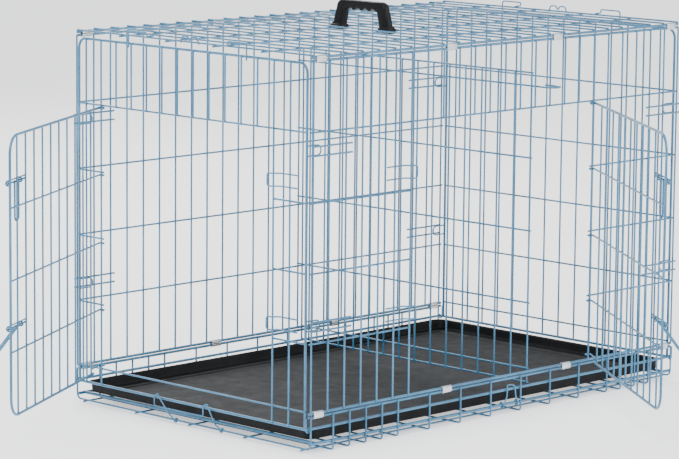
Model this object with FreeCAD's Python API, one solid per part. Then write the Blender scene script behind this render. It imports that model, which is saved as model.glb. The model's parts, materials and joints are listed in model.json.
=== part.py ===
"""Wire dog crate: a welded-wire cage on a wire base, with two doors, a tray and a divider.

Millimetres. X runs along the length, Y from front to rear, Z up; the origin is the middle of
the floor that the base stands on. Every wire is round bar; crossing wires sink into each other
by WELD where they are welded. The doors stand open, as the crate is shown in use.
"""
import FreeCAD, Part
import math
import os
from FreeCAD import Vector

# ---- driving dimensions -------------------------------------------------------------------
PITCH = 50.8                  # between neighbouring upright wires of a panel
BAY = 3 * PITCH               # between neighbouring level wires of a panel
LENGTH = 24 * PITCH           # of the cage, over its end uprights
WIDTH = 15 * PITCH
PANEL_HEIGHT = 5 * BAY        # of a side panel
BASE_HEIGHT = 88.0            # floor to the bottom wire of a side panel
THIN = 4.2                    # wire diameters
EDGE = 6.0
HEAVY = 7.0
FORM = 3.4                    # bent wire forms: hooks, keepers, guides and bails
BOLT = 4.4
WELD = 0.3                    # how far two welded wires sink into each other
GAP = 1.5                     # between the two wires that a hinge clip holds
HINGE_SLACK = 0.6             # all round a wire that turns in an eye

LEFT_DOOR_OPEN = 61.0         # how far each door stands open
FRONT_DOOR_OPEN = 55.0
LATCH_HEIGHTS = (590.0, 278.0)
RECEIVER_HEIGHTS = (658.0, 279.0)
DIVIDER_X = 107.5             # plane of the divider's level wires

# ---- derived levels and planes ------------------------------------------------------------
HALF_LENGTH = LENGTH / 2
HALF_WIDTH = WIDTH / 2
CROSS = (EDGE + THIN) / 2 - WELD                  # plane to plane, thin wire on edge wire
SIDE_UPRIGHT_Y = HALF_WIDTH                       # uprights of a side panel
SIDE_LEVEL_Y = HALF_WIDTH - (THIN - WELD)         # its level wires, on the inner side
PANEL_TOP = BASE_HEIGHT + PANEL_HEIGHT
BAYS_Z = [BASE_HEIGHT + BAY * k for k in range(6)]
HEADER_Z = BAYS_Z[4]                              # level wire above both door openings
TOP_Z = PANEL_TOP + EDGE + GAP                    # long wires of the top panel
TOP_CROSS_Z = TOP_Z + CROSS
ROOF_LONG_Z = TOP_CROSS_Z - THIN + WELD           # inner long wires of the top panel
UPSTAND_Z = BASE_HEIGHT - EDGE - GAP              # top wire of the base's long sides
RAIL_Z = 55.0                                     # mid wire of the base, and the end rails
SKID_Z = 21.5                                     # heavy lower wire, and the tray supports
FLOOR_Z = THIN / 2                                # cross wires that stand on the floor
FLOOR_LONG_Z = FLOOR_Z + THIN - WELD
END_WIRE_Z = FLOOR_LONG_Z + THIN - WELD           # end cross wires, over the long floor wires
SUPPORT_X = 590.0                                 # heavy cross wires under the tray's ends
END_LEVEL_X = HALF_LENGTH + 4.3                   # level wires and frame of an end panel
END_UPRIGHT_X = END_LEVEL_X + THIN - WELD         # its uprights, on the outer side
END_HALF = 368.0                                  # its frame wires
END_TOP = 845.0                                   # its top wire
END_SILL_Z = 92.0                                 # level wire under its door
PIVOT_Z = 54.0                                    # its bottom wire, which it turns on
SIDE_STUB = HALF_LENGTH + 3.0                     # where a side panel's level wires end


# ---- wire shapes --------------------------------------------------------------------------
def straight(start, end, diameter=THIN):
    """A straight round wire between two points."""
    start, end = Vector(*start), Vector(*end)
    return Part.makeCylinder(diameter / 2, (end - start).Length, start, end - start)


def rounded_path(points, radius):
    """Edges of a polyline whose corners are rounded to the radius, or less on a short run."""
    corners = [Vector(*p) for p in points]
    edges = []
    here = corners[0]
    for before, corner, after in zip(corners, corners[1:], corners[2:]):
        back, ahead = before - corner, after - corner
        half_turn = (math.pi - back.getAngle(ahead)) / 2
        room = 0.48 * min(back.Length, ahead.Length)
        setback = min(radius * math.tan(half_turn), room)
        bend = setback / math.tan(half_turn)
        back.normalize()
        ahead.normalize()
        enter, leave = corner + back * setback, corner + ahead * setback
        inward = back + ahead
        inward.normalize()
        middle = corner + inward * (math.hypot(bend, setback) - bend)
        edges += [Part.LineSegment(here, enter).toShape(), Part.Arc(enter, middle, leave).toShape()]
        here = leave
    edges.append(Part.LineSegment(here, corners[-1]).toShape())
    return edges


def sweep(edges, diameter):
    """Round bar along a chain of tangent edges."""
    spine = Part.Wire(edges)
    first = edges[0]
    ring = Part.Circle(first.valueAt(first.FirstParameter), first.tangentAt(first.FirstParameter), diameter / 2)
    return spine.makePipeShell([Part.Wire(ring.toShape())], True, False)


def bent(points, diameter=FORM, radius=6.0):
    """A bent wire through the points, with rounded corners."""
    return sweep(rounded_path(points, radius), diameter)


def eye(centre, axis, bore, diameter=FORM):
    """A closed ring of wire around an axis, clear of whatever turns in it by half the bore's excess."""
    return Part.makeTorus((bore + diameter) / 2, diameter / 2, Vector(*centre), Vector(*axis))


def welded(shapes):
    """One solid from wires that cross each other."""
    body = shapes[0].multiFuse(shapes[1:]) if len(shapes) > 1 else shapes[0]
    solids = body.Solids
    if len(solids) != 1:
        raise RuntimeError(f"{len(solids)} separate solids where one was meant")
    return solids[0]


def group(shapes):
    """Loose copies of one small piece, kept as separate solids."""
    return Part.makeCompound([solid for shape in shapes for solid in shape.Solids])


def mirrored_x(shape):
    """The same piece for the opposite end of the crate."""
    return shape.mirror(Vector(0, 0, 0), Vector(1, 0, 0))


def mirrored_y(shape):
    """The same piece for the opposite side of the crate."""
    return shape.mirror(Vector(0, 0, 0), Vector(0, 1, 0))


def column(first, last):
    """X of a side panel's uprights from one number to another, counted from the left end."""
    return [-HALF_LENGTH + PITCH * i for i in range(first, last + 1)]


# ---- base ---------------------------------------------------------------------------------
FEET = (1, 2, 3, 4, 5, 7, 9, 11, 13, 15, 17, 19, 20, 21, 22)
BASE_COLUMNS = [(i + 0.35) * PITCH - HALF_LENGTH for i in FEET]
FLOOR_LINES = [k * 3.5 * PITCH for k in (-2, -1, 0, 1, 2)]
BASE_UPRIGHT_Y = SIDE_LEVEL_Y + CROSS
FOOT_END_Y = BASE_UPRIGHT_Y - 14.0                # where a foot's bend meets the floor wire
END_BEND = 26.0                                   # large bend of the end wires


def base_floor():
    """Cross wires on the floor, long wires laid over them, and the two raised end wires."""
    wires = [straight((x, -FOOT_END_Y, FLOOR_Z), (x, FOOT_END_Y, FLOOR_Z)) for x in BASE_COLUMNS]
    reach = HALF_LENGTH + 5
    wires += [straight((-reach, y, FLOOR_LONG_Z), (reach, y, FLOOR_LONG_Z)) for y in FLOOR_LINES]
    side = BASE_UPRIGHT_Y - END_BEND
    wires += [straight((x, -side, END_WIRE_Z), (x, side, END_WIRE_Z)) for x in (-HALF_LENGTH, HALF_LENGTH)]
    return welded(wires)


def base_upstand():
    """The base's rear long side: three level wires, and uprights that turn in to form its feet."""
    y = SIDE_LEVEL_Y
    wires = [
        straight((-SIDE_STUB, y, UPSTAND_Z), (SIDE_STUB, y, UPSTAND_Z), EDGE),
        straight((-HALF_LENGTH + 1.8, y, RAIL_Z), (HALF_LENGTH - 1.8, y, RAIL_Z), EDGE),
        straight((-HALF_LENGTH - 1, y, SKID_Z), (HALF_LENGTH + 1, y, SKID_Z), HEAVY),
    ]
    for x in BASE_COLUMNS:
        foot = [(x, BASE_UPRIGHT_Y, UPSTAND_Z), (x, BASE_UPRIGHT_Y, FLOOR_Z), (x, FOOT_END_Y, FLOOR_Z)]
        wires.append(bent(foot, THIN, 9.0))
    for x in (-HALF_LENGTH, HALF_LENGTH):
        corner = [
            (x, BASE_UPRIGHT_Y, UPSTAND_Z),
            (x, BASE_UPRIGHT_Y, END_WIRE_Z),
            (x, BASE_UPRIGHT_Y - END_BEND, END_WIRE_Z),
        ]
        wires.append(bent(corner, THIN, END_BEND - 1))
    return welded(wires)


def pivot_eye():
    """The left rear eye: a ring at the end of the base's mid wire, with an upright tail."""
    bore = EDGE + 2 * HINGE_SLACK
    ring = eye((-END_LEVEL_X, SIDE_LEVEL_Y, PIVOT_Z), (0, 1, 0), bore)
    x = -END_LEVEL_X - (bore + FORM) / 2 - WELD
    tail = straight((x, SIDE_LEVEL_Y, PIVOT_Z - 1), (x, SIDE_LEVEL_Y, PIVOT_Z + 26), FORM)
    return welded([ring, tail])


def tray_supports():
    """Heavy cross wires under both ends of the tray, joined to the long sides' heavy wires."""
    y = SIDE_LEVEL_Y - HEAVY / 2
    return group([straight((x, -y, SKID_Z), (x, y, SKID_Z), HEAVY) for x in (-SUPPORT_X, SUPPORT_X)])


# ---- side and top panels ------------------------------------------------------------------
def side_grille(xs, zs, edge_zs, left_end, right_end):
    """Part of the front panel's plane: uprights at xs, level wires at zs between two ends."""
    wires = [
        straight((x, -SIDE_UPRIGHT_Y, min(zs)), (x, -SIDE_UPRIGHT_Y, max(zs))) for x in xs
    ]
    for z in zs:
        diameter = EDGE if z in edge_zs else THIN
        wires.append(straight((left_end, -SIDE_LEVEL_Y, z), (right_end, -SIDE_LEVEL_Y, z), diameter))
    return welded(wires)


def front_header():
    """The front panel above the door: full length, one bay high."""
    zs = [HEADER_Z, PANEL_TOP]
    return side_grille(column(0, 24), zs, [PANEL_TOP], -SIDE_STUB, SIDE_STUB)


def front_section(first, last, left_end, right_end):
    """The front panel beside the door, from just under the header to just over the sill."""
    wires = []
    for x in column(first, last):
        wires.append(straight((x, -SIDE_UPRIGHT_Y, BASE_HEIGHT + 1), (x, -SIDE_UPRIGHT_Y, HEADER_Z)))
    for z in BAYS_Z[1:4]:
        wires.append(straight((left_end, -SIDE_LEVEL_Y, z), (right_end, -SIDE_LEVEL_Y, z)))
    return welded(wires)


def front_sill():
    """The front panel's bottom wire, which the hinge clips hold to the base."""
    return straight((-SIDE_STUB, -SIDE_LEVEL_Y, BASE_HEIGHT), (SIDE_STUB, -SIDE_LEVEL_Y, BASE_HEIGHT), EDGE)


def rear_panel():
    """The whole rear side: a closed grille."""
    return mirrored_y(side_grille(column(0, 24), BAYS_Z, [BASE_HEIGHT, PANEL_TOP], -SIDE_STUB, SIDE_STUB))


def top_panel():
    """The roof grille: six long wires with the cross wires laid over them."""
    wires = []
    for k in range(6):
        outer = k in (0, 5)
        y = -SIDE_LEVEL_Y if k == 0 else SIDE_LEVEL_Y if k == 5 else -HALF_WIDTH + BAY * k
        reach = SIDE_STUB if outer else HALF_LENGTH + 7
        z = TOP_Z if outer else ROOF_LONG_Z
        wires.append(straight((-reach, y, z), (reach, y, z), EDGE if outer else THIN))
    side = SIDE_LEVEL_Y + 2
    wires += [straight((x, -side, TOP_CROSS_Z), (x, side, TOP_CROSS_Z)) for x in column(0, 24)]
    return welded(wires)


def receivers():
    """Pairs of short level wires at both ends of the rear panel, where the end panels' hooks sit."""
    wires = []
    for height in RECEIVER_HEIGHTS:
        for z in (height - 10, height + 10):
            y = SIDE_UPRIGHT_Y + THIN - WELD
            wires.append(straight((-HALF_LENGTH - 6, y, z), (-HALF_LENGTH + 2.3 * PITCH, y, z)))
    return group(wires + [mirrored_x(w) for w in wires])


# ---- hinge clips --------------------------------------------------------------------------
CLIP_LENGTH = 30.0
CLIP_WALL = 1.2
CLIP_SLACK = 0.25
TOP_CLIPS = [s * x for x in (11.5 * PITCH, 3.5 * PITCH) for s in (-1, 1)]
BOTTOM_CLIPS = [k * PITCH for k in (-11.5, -3.5, 4.5, 11.5)]


def hinge_clip(x, z_low, z_high):
    """A strip of sheet steel wrapped round two wires, one above the other, on the front side."""
    radius = EDGE / 2 + CLIP_SLACK

    def tube(r, length):
        low = Part.makeCylinder(r, length, Vector(0, 0, z_low), Vector(1, 0, 0))
        high = Part.makeCylinder(r, length, Vector(0, 0, z_high), Vector(1, 0, 0))
        web = Part.makeBox(length, 2 * r, z_high - z_low, Vector(0, -r, z_low))
        return low.fuse(high).fuse(web)

    strip = tube(radius + CLIP_WALL, CLIP_LENGTH).cut(tube(radius, CLIP_LENGTH))
    slit = Part.makeBox(CLIP_LENGTH, 4 * CLIP_WALL, 1.6, Vector(0, radius - CLIP_WALL, (z_low + z_high) / 2 - 0.8))
    strip = strip.cut(slit)
    strip.translate(Vector(x - CLIP_LENGTH / 2, -SIDE_LEVEL_Y, 0))
    return strip


def clip_row(xs, z_low, z_high):
    """The four clips along one long edge of the front side."""
    return group([hinge_clip(x, z_low, z_high) for x in xs])


# ---- end panels ---------------------------------------------------------------------------
DOOR_FROM_Y = -270.4                              # uprights beside the end door
DOOR_TO_Y = 288.4
END_LEVELS = BAYS_Z[1:4]
JOIN = 3.0                                        # how far the header's frame runs below its wire
LOOP_DEPTH = 40.0                                 # side loops, inwards along the side panels
LOOP_HALF = 11.0


def end_columns(low, high):
    """Y of an end panel's inner uprights between two limits."""
    ys = [DOOR_FROM_Y + PITCH * i for i in range(-1, 13)]
    return [y for y in ys if low - 1 < y < high + 1]


def end_upright(y, low, high):
    """One upright of the left end panel."""
    return straight((-END_UPRIGHT_X, y, low), (-END_UPRIGHT_X, y, high))


def end_level(z, low, high, diameter=THIN):
    """One level wire of the left end panel."""
    return straight((-END_LEVEL_X, low, z), (-END_LEVEL_X, high, z), diameter)


def end_arch(bottom):
    """The frame of the left end panel: up one side, round two corners and down the other."""
    x = -END_LEVEL_X
    corners = [(x, -END_HALF, bottom), (x, -END_HALF, END_TOP), (x, END_HALF, END_TOP), (x, END_HALF, bottom)]
    return bent(corners, EDGE, 22.0)


def left_end_header():
    """The left end panel above its door."""
    wires = [end_arch(HEADER_Z - JOIN), end_level(HEADER_Z, -END_HALF, END_HALF)]
    wires += [end_upright(y, HEADER_Z, END_TOP) for y in end_columns(-END_HALF, END_HALF)]
    return welded(wires)


def left_end_strip(low, high):
    """The left end panel on one side of its door; the frame wire is at the limit beyond the door."""
    frame_y = math.copysign(END_HALF, low + high)
    wires = [
        straight((-END_LEVEL_X, frame_y, END_SILL_Z + THIN / 2), (-END_LEVEL_X, frame_y, HEADER_Z - JOIN), EDGE)
    ]
    wires += [end_upright(y, END_SILL_Z, HEADER_Z) for y in end_columns(low, high)]
    wires += [end_level(z, low, high) for z in END_LEVELS]
    return welded(wires)


def left_end_sill():
    """The bottom of the left end panel: the wire it turns on, the door's sill, and their ties."""
    reach = SIDE_LEVEL_Y + FORM / 2
    tail = END_HALF + EDGE / 2 + 0.6
    wires = [end_level(PIVOT_Z, -reach, reach, EDGE), end_level(END_SILL_Z, -tail, tail)]
    ties = end_columns(-END_HALF, DOOR_FROM_Y) + end_columns(DOOR_TO_Y, END_HALF)
    wires += [end_upright(y, PIVOT_Z, END_SILL_Z) for y in ties]
    for y in (-END_HALF, END_HALF):
        wires.append(straight((-END_LEVEL_X, y, PIVOT_Z), (-END_LEVEL_X, y, END_SILL_Z), EDGE))
    return welded(wires)


def right_end_panel():
    """The closed end: one grille in the same frame."""
    wires = [end_arch(PIVOT_Z)]
    wires += [end_level(z, -END_HALF, END_HALF) for z in [END_SILL_Z] + END_LEVELS + [HEADER_Z]]
    wires += [end_upright(y, PIVOT_Z, END_TOP) for y in end_columns(-END_HALF, END_HALF)]
    return mirrored_x(welded(wires))


def right_end_pivot():
    """The bottom wire of the closed end, which turns in the base's eyes."""
    reach = SIDE_LEVEL_Y + FORM / 2
    return mirrored_x(end_level(PIVOT_Z, -reach, reach, EDGE))


def side_loops():
    """Four loops on the left end panel's frame, lying along the side panels' inner faces."""
    loops = []
    for height in RECEIVER_HEIGHTS:
        for side in (-1, 1):
            y = side * (END_HALF + 2.0)
            near, far = -END_LEVEL_X + 1.6, -END_LEVEL_X + LOOP_DEPTH
            low, high = height - LOOP_HALF, height + LOOP_HALF
            loops.append(bent([(near, y, low), (far, y, low), (far, y, high), (near, y, high)], FORM, 10.0))
    return loops


# ---- roof hooks ---------------------------------------------------------------------------
HOOK_RISE = 12.0                                  # above the roof's end cross wire
HOOK_WIDTH = 60.0
HOOK_Y = 130.0                                    # inner leg of each outer hook


def roof_hooks():
    """Three bent forms on the roof's left end wire that arch over the end panel's top wire."""
    x = -END_UPRIGHT_X - THIN / 2 - FORM / 2 - 1
    high = TOP_CROSS_Z + HOOK_RISE
    seat = TOP_CROSS_Z + (THIN + FORM) / 2 - WELD
    hooks = []
    for side in (-1, 1):
        near, far = side * HOOK_Y, side * (HOOK_Y + HOOK_WIDTH)
        hooks.append(bent(
            [(x, far, END_TOP - 8), (x, far, high), (x, near, high), (x, near, seat), (-HALF_LENGTH + 8, near, seat)],
            FORM, 5.0,
        ))
    x = -HALF_LENGTH - (THIN + FORM) / 2 + WELD
    low = TOP_CROSS_Z - 3
    humps = [(x, -29, low), (x, -23, high), (x, -6, high), (x, 0, TOP_CROSS_Z + 1), (x, 6, high), (x, 23, high)]
    hooks.append(bent(humps + [(x, 29, low)], FORM, 5.0))
    return hooks


# ---- doors --------------------------------------------------------------------------------
# A door is built closed with its hinge wire on the Z axis, reaching along -X, outside towards -Y.
DOOR_LEVELS = (89.0, 229.0, 383.0, 539.0, 692.0)
DOOR_PLANE = EDGE / 2 + THIN / 2 + HINGE_SLACK    # hinge axis to the door's level wires
DOOR_FACE = DOOR_PLANE + THIN - WELD              # hinge axis to its uprights
BOLT_PLANE = DOOR_FACE + THIN / 2 + HINGE_SLACK + BOLT / 2
DOOR_SHY = 7.3                                    # free edge, short of the opening's upright
DOOR_CORNER = 40.0
END_DOOR_WIDTH = DOOR_TO_Y - DOOR_FROM_Y
FRONT_DOOR_WIDTH = 12 * PITCH
LOWEST_EYE = 101.0                                # bottom hinge eye, above the sill
FORM_FACE = DOOR_FACE + (THIN + FORM) / 2 - WELD  # wire forms welded on the uprights


def hinge_eye(z, reach, diameter):
    """A ring round the hinge wire, with the level wire that it is the end of."""
    ring = Part.makeTorus(DOOR_PLANE, diameter / 2, Vector(0, 0, z), Vector(0, 0, 1))
    return [ring, straight((1, -DOOR_PLANE - WELD, z), (-reach, -DOOR_PLANE - WELD, z), diameter)]


def door(width):
    """A door panel: a frame wire with two round corners, uprights, level wires and hinge eyes."""
    edge = width - DOOR_SHY
    low, high = DOOR_LEVELS[0], DOOR_LEVELS[-1]
    first = edge % PITCH
    frame = [(-first + 4, low), (-edge, low), (-edge, high), (-first + 2, high)]
    wires = [bent([(x, -DOOR_PLANE, z) for x, z in frame], EDGE, DOOR_CORNER)]
    wires += hinge_eye(high, first + 6, EDGE)
    wires += hinge_eye(LOWEST_EYE, first + 4, THIN)
    for z in DOOR_LEVELS[1:-1]:
        wires += hinge_eye(z, edge + 3.5, THIN)
    for i in range(round((edge - first) / PITCH)):
        x = -first - PITCH * i
        wires.append(straight((x, -DOOR_FACE, low), (x, -DOOR_FACE, high)))
    return welded(wires)


TIP = 0.5                                         # bolt tip at rest, past the door's edge wire
LEGS = (49.5, 72.5)                               # bolt handle's legs, back from the edge wire
GUIDES = (10.5, 81.5)                             # guide eyes, back from the edge wire
TAIL = 112.0                                      # bolt's blunt end, back from the edge wire
GRIP_DROP = 85.0


def latch_guide(width, z):
    """A wire form across the door's last uprights, with two eyes for the bolt."""
    edge = width - DOOR_SHY
    bore = BOLT + 2 * HINGE_SLACK
    wires = [straight((-edge - 1, -FORM_FACE, z + 7), (-edge + 105, -FORM_FACE, z + 7), FORM)]
    wires += [eye((-edge + back, -BOLT_PLANE, z), (1, 0, 0), bore) for back in GUIDES]
    return welded(wires)


def latch_bolt(width, z, lean):
    """A sliding bolt with a bent wire handle that hangs from it, leaning out from the door."""
    edge = width - DOOR_SHY
    rod = straight((-edge - TIP, -BOLT_PLANE, z), (-edge + TAIL, -BOLT_PLANE, z), BOLT)
    out, drop = GRIP_DROP * math.sin(math.radians(lean)), GRIP_DROP * math.cos(math.radians(lean))
    near, far = -edge + LEGS[0], -edge + LEGS[1]
    grip = [
        (near, -BOLT_PLANE, z), (near, -BOLT_PLANE - out, z - drop),
        (far, -BOLT_PLANE - out, z - drop), (far, -BOLT_PLANE, z),
    ]
    return welded([rod, bent(grip, BOLT, 9.0)])


KEEPER_HALF = 14.0


def keeper(width, z):
    """A loop on the uprights beside the door; its closed end stands off to let the bolt behind it."""
    seat = (THIN + FORM) / 2 - WELD
    bridge = BOLT_PLANE + (BOLT + FORM) / 2 + HINGE_SLACK
    run = [(-width - 80, seat), (-width - 26, seat), (-width - 12, bridge), (-width, bridge)]
    over = [(x, -y, z + KEEPER_HALF) for x, y in run]
    back = [(x, -y, z - KEEPER_HALF) for x, y in reversed(run)]
    return bent(over + back, FORM, 8.0)


def at_front(shape, opened=0.0):
    """Puts a piece built in the door's own frame on the front panel."""
    shape = shape.copy()
    shape.rotate(Vector(0, 0, 0), Vector(0, 0, 1), opened)
    shape.translate(Vector(FRONT_DOOR_WIDTH / 2, -SIDE_UPRIGHT_Y, 0))
    return shape


def at_left_end(shape, opened=0.0):
    """Puts a piece built in the door's own frame on the left end panel, the other way round."""
    shape = shape.mirror(Vector(0, 0, 0), Vector(1, -1, 0))
    shape.rotate(Vector(0, 0, 0), Vector(0, 0, 1), -opened)
    shape.translate(Vector(-END_UPRIGHT_X, DOOR_TO_Y, 0))
    return shape


# ---- bails --------------------------------------------------------------------------------
def tray_bail():
    """A bent wire that turns on the base's left end wire and hooks over the end panel's bottom wire."""
    bore = THIN + 2 * HINGE_SLACK
    turn = (bore + FORM) / 2
    x = -HALF_LENGTH - turn
    face = -END_LEVEL_X - EDGE / 2 - FORM / 2 - 1.5
    over = PIVOT_Z + EDGE / 2 + FORM / 2 + 3
    wires = [eye((-HALF_LENGTH, y, END_WIRE_Z), (0, 1, 0), bore) for y in (-104, 46)]
    path = [(x + WELD, 46, END_WIRE_Z), (face, 58, 24), (face, 92, over - 3), (face + 4, 98, over + 2)]
    path += [(face, 106, over - 3), (face, 106, 35), (face, -54, 35), (face, -54, over - 3)]
    path += [(face + 4, -62, over + 2), (face, -70, over - 3), (face, -92, 24), (x + WELD, -104, END_WIRE_Z)]
    return welded(wires + [bent(path, FORM, 4.0)])


def front_bail():
    """A bent wire that turns on the base's front heavy wire and hooks over its mid wire."""
    bore = HEAVY + 2 * HINGE_SLACK
    turn = (bore + FORM) / 2
    y = -SIDE_LEVEL_Y - turn
    over = RAIL_Z + EDGE / 2 + FORM / 2 + 3
    wires = [eye((x, -SIDE_LEVEL_Y, SKID_Z), (1, 0, 0), bore) for x in (10, 60)]
    path = [(10, y - WELD, SKID_Z), (20, y, SKID_Z + 18), (22, y, over - 2), (27, y + 5, over + 2)]
    path += [(43, y + 5, over + 2), (48, y, over - 2), (50, y, SKID_Z + 18), (60, y - WELD, SKID_Z)]
    return welded(wires + [bent(path, FORM, 4.0)])


# ---- tray, divider and handle -------------------------------------------------------------
TRAY_LENGTH = 1190.0
TRAY_WIDTH = 726.0
TRAY_LOW = SKID_Z + HEAVY / 2 + 0.5
TRAY_HIGH = PIVOT_Z - EDGE / 2 - 0.5
TRAY_WALL = 2.5
TRAY_LIP = 6.0
TRAY_CORNER = 22.0


def rounded_slab(length, width, low, high, corner):
    """A slab centred on the Z axis with its upright edges rounded."""
    slab = Part.makeBox(length, width, high - low, Vector(-length / 2, -width / 2, low))
    upright = [e for e in slab.Edges if abs(e.tangentAt(e.FirstParameter).z) > 0.9]
    return slab.makeFillet(corner, upright)


def tray():
    """A shallow moulded pan with a flat lip and a raised border on its floor."""
    wall, lip = TRAY_WALL, TRAY_LIP
    outer = rounded_slab(TRAY_LENGTH, TRAY_WIDTH, TRAY_LOW, TRAY_HIGH, TRAY_CORNER)
    flange = rounded_slab(
        TRAY_LENGTH + 2 * lip, TRAY_WIDTH + 2 * lip, TRAY_HIGH - wall, TRAY_HIGH, TRAY_CORNER + lip
    )
    hollow = rounded_slab(
        TRAY_LENGTH - 2 * wall, TRAY_WIDTH - 2 * wall, TRAY_LOW + wall, TRAY_HIGH + 1, TRAY_CORNER - wall
    )
    step = rounded_slab(TRAY_LENGTH - 60, TRAY_WIDTH - 60, TRAY_LOW + wall, TRAY_LOW + 2 * wall, TRAY_CORNER)
    sunk = rounded_slab(TRAY_LENGTH - 84, TRAY_WIDTH - 84, TRAY_LOW + wall, TRAY_LOW + 3 * wall, TRAY_CORNER - 6)
    return outer.fuse(flange).cut(hollow).fuse(step.cut(sunk))


DIVIDER_LEVELS = (775.0, 745.0, 580.0, 412.0, 245.0, 92.0, 60.0)
DIVIDER_HALF = 368.0


def divider_panel():
    """A loose cross grille, whose upper level wires pass through the rear panel."""
    x = DIVIDER_X
    inside, through = DIVIDER_HALF + 1.5, SIDE_UPRIGHT_Y + 9
    wires = []
    for i, z in enumerate(DIVIDER_LEVELS):
        rear = through if i < 5 else inside
        wires.append(straight((x, -inside, z), (x, rear, z)))
    ys = [-DIVIDER_HALF + PITCH * i for i in range(15)] + [DIVIDER_HALF]
    side = x - THIN + WELD
    wires += [straight((side, y, DIVIDER_LEVELS[-1] - 2), (side, y, DIVIDER_LEVELS[0] + 2)) for y in ys]
    return welded(wires)


def divider_hook():
    """The end of the divider's second level wire, bent round two uprights of the front panel."""
    x, z = DIVIDER_X, DIVIDER_LEVELS[1]
    start = -DIVIDER_HALF - 1.5
    hook = [(x, start, z), (x, -402, z), (x + 12, -428, z), (x + 32, -426, z), (x + 38.5, -400, z)]
    return bent(hook + [(x + 38.5, -372, z)], THIN, 10.0)


HANDLE_X = -70.0
HANDLE_HEIGHT = 64.0
HANDLE_THICK = 20.0
FOOT_LENGTH = 32.0
SCALLOP = 12.0


def carry_handle():
    """A moulded grip with four finger hollows, on two feet that snap over the roof's long wires."""
    line = BAY / 2
    base = TOP_Z + 3
    top = base + HANDLE_HEIGHT
    outline = [(-92, base), (-92, base + 9), (-76, top - 14), (-58, top), (58, top), (76, top - 14)]
    outline += [(92, base + 9), (92, base), (58, base), (50, top - 24), (-50, top - 24), (-58, base)]
    corners = [Vector(-HANDLE_THICK / 2, y, z) for y, z in outline]
    grip = Part.Face(Part.makePolygon(corners + corners[:1])).extrude(Vector(HANDLE_THICK, 0, 0))
    for y in (-36, -12, 12, 36):
        centre = Vector(-HANDLE_THICK, y, top - 24 - 7)
        grip = grip.cut(Part.makeCylinder(SCALLOP, 2 * HANDLE_THICK, centre, Vector(1, 0, 0)))
    along_grip = [
        e for e in grip.Edges
        if e.BoundBox.XLength < 0.01 and e.CenterOfMass.z > base + 12 and e.Length > 15
    ]
    grip = grip.makeChamfer(2.5, along_grip)
    for side in (-1, 1):
        foot = Part.makeBox(FOOT_LENGTH, 36, 17, Vector(-FOOT_LENGTH / 2, -18, ROOF_LONG_Z - 5))
        foot = foot.makeFillet(2.0, foot.Edges)
        foot.translate(Vector(0, side * line, 0))
        start = Vector(-FOOT_LENGTH, side * line, ROOF_LONG_Z)
        bore = Part.makeCylinder(THIN / 2 + 0.2, 2 * FOOT_LENGTH, start, Vector(1, 0, 0))
        grip = grip.fuse(foot).cut(bore)
    grip.translate(Vector(HANDLE_X, 0, 0))
    return grip


# ---- assembly -----------------------------------------------------------------------------
def crate_nodes():
    """Every node of the crate by name, in place."""
    rear_upstand = base_upstand()
    eyes = [pivot_eye(), mirrored_x(pivot_eye())]
    end_hooks = roof_hooks()
    loops = side_loops()
    rear_receivers = receivers()
    top_clips = clip_row(TOP_CLIPS, PANEL_TOP, TOP_Z)
    bottom_clips = clip_row(BOTTOM_CLIPS, UPSTAND_Z, BASE_HEIGHT)
    opening = FRONT_DOOR_WIDTH / 2
    nodes = {
        "base_floor_grid": base_floor(),
        "base_rear_upstand": rear_upstand,
        "base_front_upstand": mirrored_y(rear_upstand),
        "base_tray_supports": tray_supports(),
        "base_pivot_eyes": group(eyes + [mirrored_y(e) for e in eyes]),
        "front_header": front_header(),
        "front_left_grille": front_section(0, 6, -SIDE_STUB, -opening + 4),
        "front_right_grille": front_section(18, 24, opening - 4, SIDE_STUB),
        "front_sill": front_sill(),
        "rear_panel": rear_panel(),
        "roof_panel": top_panel(),
        "roof_hooks_left": group(end_hooks),
        "roof_hooks_right": group([mirrored_x(h) for h in end_hooks]),
        "rear_receivers": rear_receivers,
        "front_receivers": mirrored_y(rear_receivers),
        "clips_top_front": top_clips,
        "clips_top_rear": mirrored_y(top_clips),
        "clips_bottom_front": bottom_clips,
        "clips_bottom_rear": mirrored_y(bottom_clips),
        "carry_handle": carry_handle(),
        "front_keepers": group([at_front(keeper(FRONT_DOOR_WIDTH, z)) for z in LATCH_HEIGHTS]),
        "left_end_header": left_end_header(),
        "left_end_front_strip": left_end_strip(-END_HALF, DOOR_FROM_Y + 4),
        "left_end_rear_strip": left_end_strip(DOOR_TO_Y - 4, END_HALF),
        "left_end_sill": left_end_sill(),
        "left_end_loops": group(loops),
        "left_end_keepers": group([at_left_end(keeper(END_DOOR_WIDTH, z)) for z in LATCH_HEIGHTS]),
        "right_end_panel": right_end_panel(),
        "right_end_pivot": right_end_pivot(),
        "right_end_loops": group([mirrored_x(loop) for loop in loops]),
        "end_door": at_left_end(door(END_DOOR_WIDTH), LEFT_DOOR_OPEN),
        "front_door": at_front(door(FRONT_DOOR_WIDTH), FRONT_DOOR_OPEN),
        "tray": tray(),
        "tray_bail": tray_bail(),
        "front_bail": front_bail(),
        "divider_panel": divider_panel(),
        "divider_hook": divider_hook(),
    }
    for level, z, lean in zip(("upper", "lower"), LATCH_HEIGHTS, (0.0, 37.0)):
        nodes[f"end_door_{level}_guide"] = at_left_end(latch_guide(END_DOOR_WIDTH, z), LEFT_DOOR_OPEN)
        nodes[f"end_door_{level}_bolt"] = at_left_end(latch_bolt(END_DOOR_WIDTH, z, lean), LEFT_DOOR_OPEN)
        nodes[f"front_door_{level}_guide"] = at_front(latch_guide(FRONT_DOOR_WIDTH, z), FRONT_DOOR_OPEN)
        nodes[f"front_door_{level}_bolt"] = at_front(latch_bolt(FRONT_DOOR_WIDTH, z, lean), FRONT_DOOR_OPEN)
    return nodes


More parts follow.
